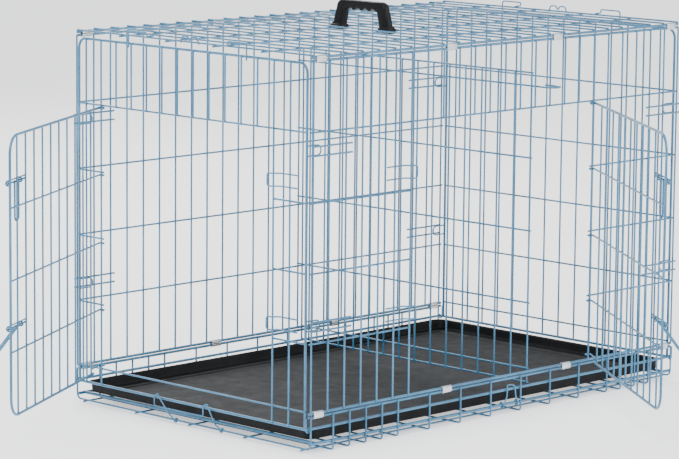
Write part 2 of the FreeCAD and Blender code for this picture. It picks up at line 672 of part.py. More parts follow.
def main():
    """Writes one STEP file for each node."""
    os.makedirs("parts", exist_ok=True)
    for name, shape in crate_nodes().items():
        if not shape.isValid():
            raise RuntimeError(f"{name} is not a valid shape")
        shape.exportStep(f"parts/{name}.step")


main()
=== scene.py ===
"""Looks of the wire dog crate: drawn round wire with weld nuggets, spring-steel clips, moulded parts.

Wire paths are laid out in millimetres in the crate's own frame and turned into metres when the
mesh is made. Every main plane and level is read from the frame's boxes.
"""
import json
import logging
import math
from collections.abc import Callable, Sequence
from dataclasses import dataclass, field
from enum import Enum

import bmesh
import bpy
from mathutils import Matrix, Vector

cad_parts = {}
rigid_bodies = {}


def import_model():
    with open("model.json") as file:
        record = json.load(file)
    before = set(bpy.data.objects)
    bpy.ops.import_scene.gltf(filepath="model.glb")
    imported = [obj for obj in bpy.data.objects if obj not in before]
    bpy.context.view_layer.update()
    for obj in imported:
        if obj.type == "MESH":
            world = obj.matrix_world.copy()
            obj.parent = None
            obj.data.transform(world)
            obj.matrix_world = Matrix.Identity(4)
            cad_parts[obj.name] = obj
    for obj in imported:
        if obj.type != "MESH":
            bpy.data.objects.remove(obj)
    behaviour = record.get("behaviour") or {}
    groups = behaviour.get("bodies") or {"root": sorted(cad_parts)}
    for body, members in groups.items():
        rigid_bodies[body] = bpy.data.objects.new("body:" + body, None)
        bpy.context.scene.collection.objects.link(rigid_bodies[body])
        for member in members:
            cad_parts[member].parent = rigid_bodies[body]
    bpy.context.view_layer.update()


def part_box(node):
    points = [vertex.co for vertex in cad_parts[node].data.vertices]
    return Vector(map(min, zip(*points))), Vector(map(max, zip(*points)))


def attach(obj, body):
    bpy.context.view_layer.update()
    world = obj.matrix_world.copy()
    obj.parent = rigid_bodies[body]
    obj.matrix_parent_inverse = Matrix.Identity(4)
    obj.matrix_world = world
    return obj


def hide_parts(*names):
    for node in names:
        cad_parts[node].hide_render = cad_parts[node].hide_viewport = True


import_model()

LOG = logging.getLogger("crate")
MM = 0.001
Point = tuple[float, float, float]
Place = Callable[[Point], Point]
Node, Socket = bpy.types.Node, bpy.types.NodeSocket
Object, Material = bpy.types.Object, bpy.types.Material


# ---- sizes --------------------------------------------------------------------------------
THIN, EDGE, HEAVY, FORM, BOLT = 4.2, 6.0, 7.0, 3.4, 4.4   # wire diameters
WELD = 0.3                                                # depth that welded wires sink
SLACK = 0.6                                               # round a wire that turns in an eye
NUGGET, FORM_NUGGET = 2.4, 2.0                            # radii of the usual weld nuggets
NIP = 0.5                                                 # chamfer on a cut wire
SUNK = 0.4                                                # a nugget's middle inside a heavy wire
PITCH = 50.8
BAY = 3 * PITCH
RAIL, SKID = 55.0, 21.5                                   # the base's middle and heavy long wires
ROW_END = 3.0                                             # long wires past the last upright
ROOF_GAP = 1.5                                            # side panels to the roof
PANEL_HALF = 368.0                                        # half width of an end panel or the divider
LATCH_HEIGHTS = (590.0, 278.0)
RECEIVER_HEIGHTS = (658.0, 279.0)
DOOR_LEVELS = (89.0, 229.0, 383.0, 539.0, 692.0)
DIVIDER_LEVELS = (775.0, 745.0, 580.0, 412.0, 245.0, 92.0, 60.0)


class Side(Enum):
    """Which way a piece faces along an axis."""

    LOW = -1
    HIGH = 1


class Axis(Enum):
    """Row axes by index."""

    X = 0
    Y = 1
    Z = 2


def node_box(node: str) -> tuple[Vector, Vector]:
    """Lowest and highest corners of a CAD node in millimetres."""
    low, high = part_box(node)
    return Vector(low) / MM, Vector(high) / MM


@dataclass(frozen=True)
class Levels:
    """Main planes and levels of the crate in millimetres, read from the frame."""

    half_length: float
    half_width: float
    base: float
    top: float
    end_level: float
    end_top: float
    pivot: float
    ground: float

    @classmethod
    def from_frame(cls) -> "Levels":
        """Reads the planes off the boxes of the main grilles.

        Returns:
            The levels, ready for the sub-assemblies.
        """
        rear_low, rear_high = node_box("rear_panel")
        end_low, end_high = node_box("right_end_panel")
        pivot_low, _ = node_box("right_end_pivot")
        return cls(
            half_length=rear_high.x - ROW_END,
            half_width=rear_high.y - THIN / 2,
            base=rear_low.z + EDGE / 2,
            top=rear_high.z - EDGE / 2,
            end_level=end_low.x + EDGE / 2,
            end_top=end_high.z - EDGE / 2,
            pivot=pivot_low.z + EDGE / 2,
            ground=node_box("base_floor_grid")[0].z + THIN / 2,
        )

    @property
    def end_wire(self) -> float:
        """Height of the base's end wires, over its long wires and its cross wires."""
        return self.ground + 2 * (THIN - WELD)

    @property
    def level_y(self) -> float:
        """Plane of a side panel's level wires."""
        return self.half_width - (THIN - WELD)

    @property
    def bays(self) -> list[float]:
        """Heights of a side panel's level wires."""
        return [self.base + BAY * k for k in range(6)]

    @property
    def header(self) -> float:
        """Height of the level wire over the doors."""
        return self.bays[4]

    @property
    def end_upright(self) -> float:
        """Plane of an end panel's uprights."""
        return self.end_level + THIN - WELD

    @property
    def roof_edge(self) -> float:
        """Height of the roof's outer long wires."""
        return self.top + EDGE + ROOF_GAP

    @property
    def roof_cross(self) -> float:
        """Height of the roof's cross wires."""
        return self.roof_edge + (EDGE + THIN) / 2 - WELD


# ---- finishes -----------------------------------------------------------------------------
class Shader:
    """A small builder for one node material."""

    def __init__(self, name: str) -> None:
        """Starts a material with a Principled shader and object coordinates."""
        self.material = bpy.data.materials.new(name)
        self.material.use_nodes = True
        self.tree = self.material.node_tree
        self.surface = next(n for n in self.tree.nodes if n.type == "BSDF_PRINCIPLED")
        self.place = self.tree.nodes.new("ShaderNodeTexCoord")

    def noise(self, scale: float, detail: float, rough: float = 0.5) -> Socket:
        """A noise texture in object space."""
        node = self.tree.nodes.new("ShaderNodeTexNoise")
        node.inputs["Scale"].default_value = scale
        node.inputs["Detail"].default_value = detail
        node.inputs["Roughness"].default_value = rough
        self.tree.links.new(self.place.outputs["Object"], node.inputs["Vector"])
        return node.outputs["Fac"]

    def cells(self, scale: float, feature: str = "F1") -> Socket:
        """Distance to the middle of a cell, in object space."""
        node = self.tree.nodes.new("ShaderNodeTexVoronoi")
        node.feature = feature
        node.inputs["Scale"].default_value = scale
        self.tree.links.new(self.place.outputs["Object"], node.inputs["Vector"])
        return node.outputs["Distance"]

    def ramp(self, source: Socket, stops: Sequence[tuple[float, Sequence[float]]]) -> Socket:
        """A colour ramp on a value.

        Args:
            source: the value to colour.
            stops: positions with linear colours.

        Returns:
            The ramp's colour.
        """
        node = self.tree.nodes.new("ShaderNodeValToRGB")
        first, last = node.color_ramp.elements[0], node.color_ramp.elements[-1]
        first.position, first.color = stops[0][0], (*stops[0][1], 1)
        last.position, last.color = stops[-1][0], (*stops[-1][1], 1)
        for position, colour in stops[1:-1]:
            node.color_ramp.elements.new(position).color = (*colour, 1)
        self.tree.links.new(source, node.inputs["Fac"])
        return node.outputs["Color"]

    def roughness(self, source: Socket, low: float, high: float) -> None:
        """Maps the middle of a noise value to a range of roughness."""
        node = self.tree.nodes.new("ShaderNodeMapRange")
        node.inputs["From Min"].default_value = 0.3
        node.inputs["From Max"].default_value = 0.7
        node.inputs["To Min"].default_value = low
        node.inputs["To Max"].default_value = high
        self.tree.links.new(source, node.inputs["Value"])
        self.tree.links.new(node.outputs["Result"], self.surface.inputs["Roughness"])

    def bump(self, source: Socket, distance: float, strength: float) -> None:
        """Adds a bump over the bumps that are already on the surface."""
        node = self.tree.nodes.new("ShaderNodeBump")
        node.inputs["Distance"].default_value = distance
        node.inputs["Strength"].default_value = strength
        self.tree.links.new(source, node.inputs["Height"])
        normal = self.surface.inputs["Normal"]
        if normal.is_linked:
            self.tree.links.new(normal.links[0].from_socket, node.inputs["Normal"])
        self.tree.links.new(node.outputs["Normal"], normal)

    def tint(self, source: Socket, stops: Sequence[tuple[float, Sequence[float]]]) -> None:
        """Colours the surface by a ramp on a value."""
        self.tree.links.new(self.ramp(source, stops), self.surface.inputs["Base Color"])

    def fix(self, **values: object) -> Material:
        """Sets constant sockets, named with underscores for spaces, and returns the material."""
        for name, value in values.items():
            self.surface.inputs[name.replace("_", " ")].default_value = value
        return self.material


@dataclass(frozen=True)
class PowderCoat:
    """Satin powder paint on wire: fine orange peel, faint clouding, a paler film on the highs."""

    deep: tuple[float, float, float] = (0.008, 0.085, 0.170)
    body: tuple[float, float, float] = (0.016, 0.130, 0.250)
    pale: tuple[float, float, float] = (0.040, 0.200, 0.350)

    def material(self) -> Material:
        """Builds the paint."""
        shader = Shader("powder_coat_blue")
        cloud = shader.noise(9.0, 5.0, 0.6)
        speck = shader.noise(1400.0, 2.0)
        mix = shader.tree.nodes.new("ShaderNodeMix")
        mix.inputs["Factor"].default_value = 0.35
        shader.tree.links.new(cloud, mix.inputs["A"])
        shader.tree.links.new(speck, mix.inputs["B"])
        shader.tint(mix.outputs["Result"], [(0.36, self.deep), (0.5, self.body), (0.66, self.pale)])
        shader.roughness(shader.noise(260.0, 3.0), 0.24, 0.42)
        shader.bump(shader.noise(620.0, 2.0), 0.00012, 0.35)
        shader.bump(shader.noise(60.0, 2.0), 0.0004, 0.15)
        return shader.fix(Coat_Weight=0.25, Coat_Roughness=0.18, Specular_IOR_Level=0.55)


@dataclass(frozen=True)
class Galvanised:
    """Zinc-plated strip: pale crystals, with roughness and a fine bump varied by noise."""

    dark: tuple[float, float, float] = (0.36, 0.37, 0.38)
    mid: tuple[float, float, float] = (0.58, 0.59, 0.6)
    light: tuple[float, float, float] = (0.74, 0.75, 0.76)

    def material(self) -> Material:
        """Builds the plating."""
        shader = Shader("galvanised_strip")
        shader.tint(shader.cells(420.0), [(0.0, self.light), (0.55, self.mid), (1.0, self.dark)])
        shader.roughness(shader.noise(300.0, 4.0, 0.7), 0.22, 0.5)
        shader.bump(shader.noise(900.0, 3.0), 0.0001, 0.3)
        return shader.fix(Metallic=1.0)


@dataclass(frozen=True)
class MouldedPlastic:
    """Black moulded plastic with a pebbled grain and a faint bloom of scuffs."""

    name: str
    grain: float
    depth: float
    base: tuple[float, float, float] = (0.003, 0.0032, 0.0036)
    bloom: tuple[float, float, float] = (0.008, 0.0083, 0.009)
    gloss: tuple[float, float] = (0.46, 0.62)

    def material(self) -> Material:
        """Builds the plastic."""
        shader = Shader(self.name)
        shader.tint(shader.noise(7.0, 8.0, 0.65), [(0.35, self.base), (0.7, self.bloom)])
        shader.roughness(shader.noise(24.0, 6.0, 0.7), *self.gloss)
        shader.bump(shader.cells(self.grain, "SMOOTH_F1"), self.depth, 0.5)
        shader.bump(shader.noise(self.grain * 2.3, 2.0), self.depth / 2, 0.3)
        return shader.fix(Specular_IOR_Level=0.12)


@dataclass(frozen=True)
class StudioFloor:
    """Pale painted studio floor with a glow that keeps it nearly white."""

    low: tuple[float, float, float] = (0.93, 0.93, 0.935)
    high: tuple[float, float, float] = (0.96, 0.96, 0.96)
    glow: float = 0.8

    def material(self) -> Material:
        """Builds the floor's paint."""
        shader = Shader("pale_floor")
        shader.tint(shader.noise(1.3, 3.0), [(0.3, self.low), (0.7, self.high)])
        return shader.fix(Roughness=0.7, Emission_Color=(1.0, 1.0, 1.0, 1.0), Emission_Strength=self.glow)


# ---- geometry node trees ------------------------------------------------------------------
class Tree:
    """A Geometry Nodes tree under construction."""

    def __init__(self, name: str, inputs: Sequence[tuple[str, str, object]]) -> None:
        """Opens a tree with a Geometry socket each way and the named inputs."""
        self.group = bpy.data.node_groups.new(name, "GeometryNodeTree")
        face = self.group.interface
        face.new_socket(name="Geometry", in_out="INPUT", socket_type="NodeSocketGeometry")
        self.ids: dict[str, str] = {}
        for label, kind, value in inputs:
            socket = face.new_socket(name=label, in_out="INPUT", socket_type=kind)
            self.ids[label] = socket.identifier
            if value is not None:
                socket.default_value = value
        face.new_socket(name="Geometry", in_out="OUTPUT", socket_type="NodeSocketGeometry")
        self.start = self.group.nodes.new("NodeGroupInput")
        self.end = self.group.nodes.new("NodeGroupOutput")

    def node(self, kind: str, links: dict[str | int, object] | None = None, **settings: object) -> Node:
        """Adds a node, sets its properties and fills its sockets with links or constants.

        Args:
            kind: the node's type name.
            links: input name or index to an output socket or a constant.
            settings: properties of the node.

        Returns:
            The new node.
        """
        node = self.group.nodes.new(kind)
        for key, value in settings.items():
            setattr(node, key, value)
        for key, value in (links or {}).items():
            if isinstance(value, Socket):
                self.group.links.new(value, node.inputs[key])
            else:
                node.inputs[key].default_value = value
        return node

    def given(self, label: str) -> Socket:
        """The output socket of a named input."""
        return self.start.outputs[label]

    def attribute(self, name: str) -> Socket:
        """A number stored on the points."""
        reader = self.node("GeometryNodeInputNamedAttribute", {"Name": name}, data_type="FLOAT")
        return reader.outputs["Attribute"]

    def close(self, geometry: Socket) -> None:
        """Realizes what the tree made, gives it its material and closes the tree."""
        real = self.node("GeometryNodeRealizeInstances", {"Geometry": geometry})
        done = self.node(
            "GeometryNodeSetMaterial",
            {"Geometry": real.outputs["Geometry"], "Material": self.given("Material")},
        )
        self.group.links.new(done.outputs["Geometry"], self.end.inputs["Geometry"])


def wire_tree() -> Tree:
    """Round wire along edges, with weld nuggets on marked points and a slight sway of long wires.

    Returns:
        The tree; its mesh carries the point numbers "radius" and "nugget".
    """
    tree = Tree("drawn_wire", [
        ("Sides", "NodeSocketInt", 14),
        ("Sway", "NodeSocketFloat", 0.0),
        ("Material", "NodeSocketMaterial", None),
    ])
    place = tree.node("GeometryNodeInputPosition").outputs["Position"]
    noise = tree.node("ShaderNodeTexNoise", {"Vector": place, "Scale": 3.1, "Detail": 1.0})
    centred = tree.node(
        "ShaderNodeVectorMath", {0: noise.outputs["Color"], 1: (0.5, 0.5, 0.5)}, operation="SUBTRACT"
    )
    offset = tree.node(
        "ShaderNodeVectorMath", {0: centred.outputs["Vector"], "Scale": tree.given("Sway")}, operation="SCALE"
    )
    swayed = tree.node(
        "GeometryNodeSetPosition", {"Geometry": tree.given("Geometry"), "Offset": offset.outputs["Vector"]}
    )
    marked = tree.node(
        "FunctionNodeCompare", {"A": tree.attribute("nugget"), "B": 0.0},
        data_type="FLOAT", operation="GREATER_THAN",
    )
    split = tree.node(
        "GeometryNodeSeparateGeometry",
        {"Geometry": swayed.outputs["Geometry"], "Selection": marked.outputs["Result"]},
    )
    curve = tree.node("GeometryNodeMeshToCurve", {"Mesh": split.outputs["Inverted"]})
    ring = tree.node("GeometryNodeCurvePrimitiveCircle", {"Resolution": tree.given("Sides"), "Radius": 1.0})
    bar = tree.node("GeometryNodeCurveToMesh", {
        "Curve": curve.outputs["Curve"], "Profile Curve": ring.outputs["Curve"],
        "Scale": tree.attribute("radius"), "Fill Caps": True,
    })
    ball = tree.node("GeometryNodeMeshUVSphere", {"Segments": 10, "Rings": 6, "Radius": 1.0})
    beads = tree.node("GeometryNodeInstanceOnPoints", {
        "Points": split.outputs["Selection"], "Instance": ball.outputs["Mesh"],
        "Scale": tree.attribute("nugget"),
    })
    joined = tree.node("GeometryNodeJoinGeometry")
    tree.group.links.new(bar.outputs["Mesh"], joined.inputs["Geometry"])
    tree.group.links.new(beads.outputs["Instances"], joined.inputs["Geometry"])
    tree.close(joined.outputs["Geometry"])
    return tree


def copies_tree() -> Tree:
    """One part repeated on every point of a mesh.

    Returns:
        The tree; its input "Part" is the object to repeat.
    """
    tree = Tree("copies_on_points", [
        ("Part", "NodeSocketObject", None),
        ("Material", "NodeSocketMaterial", None),
    ])
    part = tree.node("GeometryNodeObjectInfo", {"Object": tree.given("Part")})
    copies = tree.node("GeometryNodeInstanceOnPoints", {
        "Points": tree.given("Geometry"), "Instance": part.outputs["Geometry"],
    })
    tree.close(copies.outputs["Instances"])
    return tree


def linked(name: str, data: bpy.types.ID) -> Object:
    """A new object of the scene."""
    obj = bpy.data.objects.new(name, data)
    bpy.context.collection.objects.link(obj)
    return obj


def smoothed(mesh: bpy.types.Mesh, sharp: float) -> None:
    """Shades a mesh smooth, with edges above an angle in degrees left sharp."""
    mesh.shade_smooth()
    mesh.set_sharp_from_angle(angle=math.radians(sharp))


def grown(obj: Object, tree: Tree, sharp: float, **inputs: object) -> None:
    """Runs a tree on an object and leaves it with the plain mesh that comes out.

    Args:
        obj: the object, linked to the scene.
        tree: the tree.
        sharp: angle in degrees above which an edge stays sharp.
        inputs: the tree's inputs by name.
    """
    modifier = obj.modifiers.new(tree.group.name, "NODES")
    modifier.node_group = tree.group
    for label, value in inputs.items():
        modifier[tree.ids[label]] = value
    graph = bpy.context.evaluated_depsgraph_get()
    mesh = bpy.data.meshes.new_from_object(obj.evaluated_get(graph), depsgraph=graph)
    obj.modifiers.clear()
    obj.data = mesh
    smoothed(mesh, sharp)


# ---- wire work ----------------------------------------------------------------------------
def rounded(points: Sequence[Point], radius: float, steps: int = 7) -> list[Point]:
    """Rounds the corners of a polyline.

    Args:
        points: corners of the path.
        radius: bend radius, less where a run is short.
        steps: chords in each bend.

    Returns:
        Points of the rounded path.
    """
    corners = [Vector(p) for p in points]
    path = [corners[0]]
    for before, corner, after in zip(corners, corners[1:], corners[2:]):
        back, ahead = before - corner, after - corner
        half = (math.pi - back.angle(ahead)) / 2
        if half < 0.02:
            path.append(corner)
            continue
        setback = min(radius * math.tan(half), 0.48 * min(back.length, ahead.length))
        bend = setback / math.tan(half)
        enter, leave = corner + back.normalized() * setback, corner + ahead.normalized() * setback
        inward = (back.normalized() + ahead.normalized()).normalized()
        centre = corner + inward * math.hypot(bend, setback)
        start, stop = enter - centre, leave - centre
        turn = start.angle(stop)
        for i in range(steps + 1):
            part = i / steps
            spoke = start * math.sin((1 - part) * turn) + stop * math.sin(part * turn)
            path.append(centre + spoke / math.sin(turn))
    path.append(corners[-1])
    return [tuple(p) for p in path]


def arc(centre: Point, across: Point, up: Point, turn: tuple[float, float],
        rise: Point = (0, 0, 0)) -> list[Point]:
    """Points of an arc or a coil.

    Args:
        centre: of the arc.
        across: from the centre to angle zero.
        up: from the centre to a quarter turn.
        turn: first and last angle in degrees.
        rise: how far the arc climbs from its first to its last point.

    Returns:
        The points, one to about every 18 degrees.
    """
    middle, first, second, climb = Vector(centre), Vector(across), Vector(up), Vector(rise)
    count = max(6, round(abs(turn[1] - turn[0]) / 18))
    points = []
    for i in range(count + 1):
        part = i / count
        angle = math.radians(turn[0] + (turn[1] - turn[0]) * part)
        points.append(tuple(middle + first * math.cos(angle) + second * math.sin(angle) + climb * part))
    return points


def same(point: Point) -> Point:
    """Leaves a point where it is."""
    return point


@dataclass
class WireWork:
    """Wires and weld nuggets of one piece, gathered before the mesh is made."""

    name: str
    body: str
    nodes: tuple[str, ...]
    sway: float = 0.0
    place: Place = same
    sides: int = 14
    verts: list[Point] = field(default_factory=list)
    edges: list[tuple[int, int]] = field(default_factory=list)
    radii: list[float] = field(default_factory=list)
    nuggets: list[float] = field(default_factory=list)

    def path(self, points: Sequence[Point], diameter: float, closed: bool = False) -> None:
        """Lays one wire through the points; open ends are nipped with a small chamfer.

        Args:
            points: the wire's line.
            diameter: of the wire.
            closed: joins the last point to the first.
        """
        line = [Vector(p) for p in points]
        size = [diameter / 2] * len(line)
        if not closed:
            for end, inner in ((0, 1), (-1, -2)):
                nipped = line[end] + (line[inner] - line[end]).normalized() * NIP
                spot = 1 if end == 0 else len(line) - 1
                line.insert(spot, nipped)
                size.insert(spot, diameter / 2)
                size[end] = diameter / 2 - NIP
        first = len(self.verts)
        self.verts += [self.place(tuple(p)) for p in line]
        self.radii += size
        self.nuggets += [0.0] * len(line)
        self.edges += [(first + i, first + i + 1) for i in range(len(line) - 1)]
        if closed:
            self.edges.append((len(self.verts) - 1, first))

    def straight(self, start: Point, end: Point, diameter: float = THIN) -> None:
        """A straight wire, cut into short runs so that it can sway."""
        a, b = Vector(start), Vector(end)
        count = max(1, round((b - a).length / PITCH)) if self.sway else 1
        self.path([tuple(a.lerp(b, i / count)) for i in range(count + 1)], diameter)

    def bent(self, points: Sequence[Point], diameter: float = FORM, radius: float = 6.0) -> None:
        """A bent wire with rounded corners."""
        self.path(rounded(points, radius), diameter)

    def nugget(self, point: Point, size: float = NUGGET) -> None:
        """A weld nugget where two wires cross."""
        self.verts.append(self.place(point))
        self.radii.append(0.0)
        self.nuggets.append(size)

    def mesh(self, tree: Tree, paint: Material) -> Object:
        """Makes the piece and fixes it to its body.

        Args:
            tree: the wire tree.
            paint: the material.

        Returns:
            The finished object.
        """
        data = bpy.data.meshes.new(self.name)
        data.from_pydata([Vector(v) * MM for v in self.verts], self.edges, [])
        for label, values in (("radius", self.radii), ("nugget", self.nuggets)):
            numbers = data.attributes.new(label, "FLOAT", "POINT")
            numbers.data.foreach_set("value", [v * MM for v in values])
        obj = linked(self.name, data)
        grown(obj, tree, 40.0, Sides=self.sides, Sway=self.sway * MM, Material=paint)
        finish_piece(obj, self.body, self.nodes)
        return obj


def finish_piece(obj: Object, body: str, nodes: Sequence[str]) -> None:
    """Fixes a finished mesh to its body and the nodes that it stands for."""
    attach(obj, body)
    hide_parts(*nodes)
    LOG.info("%s: %d faces on %s", obj.name, len(obj.data.polygons), body)


# ---- flat grilles -------------------------------------------------------------------------
def bead(diameter: float) -> float:
    """Radius of the nugget that welds an upright to a level wire of this diameter."""
    return 1.9 + diameter / 14


@dataclass
class Grille:
    """Uprights on one plane and level wires on the next, welded where they cross.

    `across` is the axis along which the uprights are set out, `along` the axis that they run
    along, and `normal` the axis between the two planes.
    """

    work: WireWork
    across: Axis
    along: Axis
    normal: Axis
    upright_plane: float
    level_plane: float

    def spot(self, across: float, along: float, normal: float) -> Point:
        """A point from its three coordinates on the grille's own axes."""
        point = [0.0, 0.0, 0.0]
        point[self.across.value] = across
        point[self.along.value] = along
        point[self.normal.value] = normal
        return tuple(point)

    def uprights(self, places: Sequence[float], low: float, high: float) -> None:
        """Lays the uprights."""
        for place in places:
            ends = [self.spot(place, along, self.upright_plane) for along in (low, high)]
            self.work.straight(*ends)

    def level(self, height: float, low: float, high: float, diameter: float = THIN,
              crossing: Sequence[float] = (), plane: float | None = None) -> None:
        """Lays one level wire and its welds.

        Args:
            height: where it lies along the uprights.
            low: its first end.
            high: its last end.
            diameter: of the wire.
            crossing: uprights that it is welded to.
            plane: its own plane, if it isn't on the level plane.
        """
        plane = self.level_plane if plane is None else plane
        self.work.straight(self.spot(low, height, plane), self.spot(high, height, plane), diameter)
        middle = (self.upright_plane * diameter + plane * THIN) / (diameter + THIN)
        for place in crossing:
            self.work.nugget(self.spot(place, height, middle), bead(diameter))


def steps(first: float, count: int) -> list[float]:
    """Places one pitch apart."""
    return [first + PITCH * i for i in range(count)]


# ---- base ---------------------------------------------------------------------------------
@dataclass
class Base:
    """Floor grid, long upstands with bent feet, tray supports and pivot eyes."""

    levels: Levels
    bend: float = 26.0
    inset: float = 14.0
    toe_bend: float = 9.0
    rail_short: float = 1.8
    support_weld: float = 3.4
    numbers: tuple[int, ...] = (1, 2, 3, 4, 5, 7, 9, 11, 13, 15, 17, 19, 20, 21, 22)
    offset: float = 0.35

    @property
    def columns(self) -> list[float]:
        """X of the feet."""
        return [-self.levels.half_length + PITCH * (i + self.offset) for i in self.numbers]

    @property
    def upright_y(self) -> float:
        """Plane of the feet."""
        return self.levels.level_y + (EDGE + THIN) / 2 - WELD

    def floor(self) -> WireWork:
        """Cross wires on the floor with long wires over them, and the end wires over those."""
        work = WireWork("base_floor_wires", "crate", ("base_floor_grid",), sway=0.6)
        ground, end_z = self.levels.ground, self.levels.end_wire
        long_z = ground + THIN - WELD
        reach = -node_box("base_floor_grid")[0].x
        foot = self.upright_y - self.inset
        lines = [k * 3.5 * PITCH for k in range(-2, 3)]
        for x in self.columns:
            work.straight((x, -foot, ground), (x, foot, ground))
        for y in lines:
            work.straight((-reach, y, long_z), (reach, y, long_z))
            for x in self.columns:
                work.nugget((x, y, (ground + long_z) / 2))
        side = self.upright_y - self.bend
        for x in (-self.levels.half_length, self.levels.half_length):
            work.straight((x, -side, end_z), (x, side, end_z))
            for y in lines:
                work.nugget((x, y, (end_z + long_z) / 2))
        return work

    def upstand(self, side: Side) -> WireWork:
        """One long side of the base."""
        node = "base_rear_upstand" if side is Side.HIGH else "base_front_upstand"
        work = WireWork(f"{node}_wires", "crate", (node,), sway=0.4)
        high = node_box(node)[1]
        ground, end_z, half = self.levels.ground, self.levels.end_wire, self.levels.half_length
        sign, y, top = side.value, self.levels.level_y, high.z - EDGE / 2
        rows = ((top, high.x, EDGE), (RAIL, half - self.rail_short, EDGE), (SKID, half + 1, HEAVY))
        for z, end, diameter in rows:
            work.straight((-end, sign * y, z), (end, sign * y, z), diameter)
            for x in self.columns:
                work.nugget((x, sign * (y + diameter / 2 - SUNK), z))
        upright, toe = sign * self.upright_y, sign * (self.upright_y - self.inset)
        for x in self.columns:
            foot = [(x, upright, top + 1), (x, upright, ground), (x, toe, ground)]
            work.bent(foot, THIN, self.toe_bend)
        for x in (-half, half):
            turn = sign * (self.upright_y - self.bend)
            work.bent([(x, upright, top + 1), (x, upright, end_z), (x, turn, end_z)], THIN, self.bend - 1)
            for z, _, diameter in rows:
                work.nugget((x, sign * (y + diameter / 2 - SUNK), z))
        return work

    def supports(self) -> WireWork:
        """Heavy wires under the tray's ends."""
        work = WireWork("base_tray_support_wires", "crate", ("base_tray_supports",), sway=0.4)
        low, high = node_box("base_tray_supports")
        for x in (low.x + HEAVY / 2, high.x - HEAVY / 2):
            work.straight((x, low.y, SKID), (x, high.y, SKID), HEAVY)
            for y in (low.y, high.y):
                work.nugget((x, y, SKID), self.support_weld)
        return work

    def eyes(self) -> WireWork:
        """Curled eyes that the end panels turn in, each with an upright tail."""
        work = WireWork("base_pivot_eye_wires", "crate", ("base_pivot_eyes",))
        radius = EDGE / 2 + SLACK + FORM / 2
        for end in Side:
            for side in Side:
                x, y = end.value * self.levels.end_level, side.value * self.levels.level_y
                z = self.levels.pivot
                curl = arc((x, y, z), (-end.value * radius, 0, 0), (0, 0, radius), (70, -180))
                stem = x + end.value * (radius + 0.2)
                work.path(curl + [(stem, y, z + 6), (stem, y, z + 26)], FORM)
        return work

    def pieces(self) -> list[WireWork]:
        """Every piece of the base."""
        return [self.floor(), self.upstand(Side.LOW), self.upstand(Side.HIGH), self.supports(), self.eyes()]


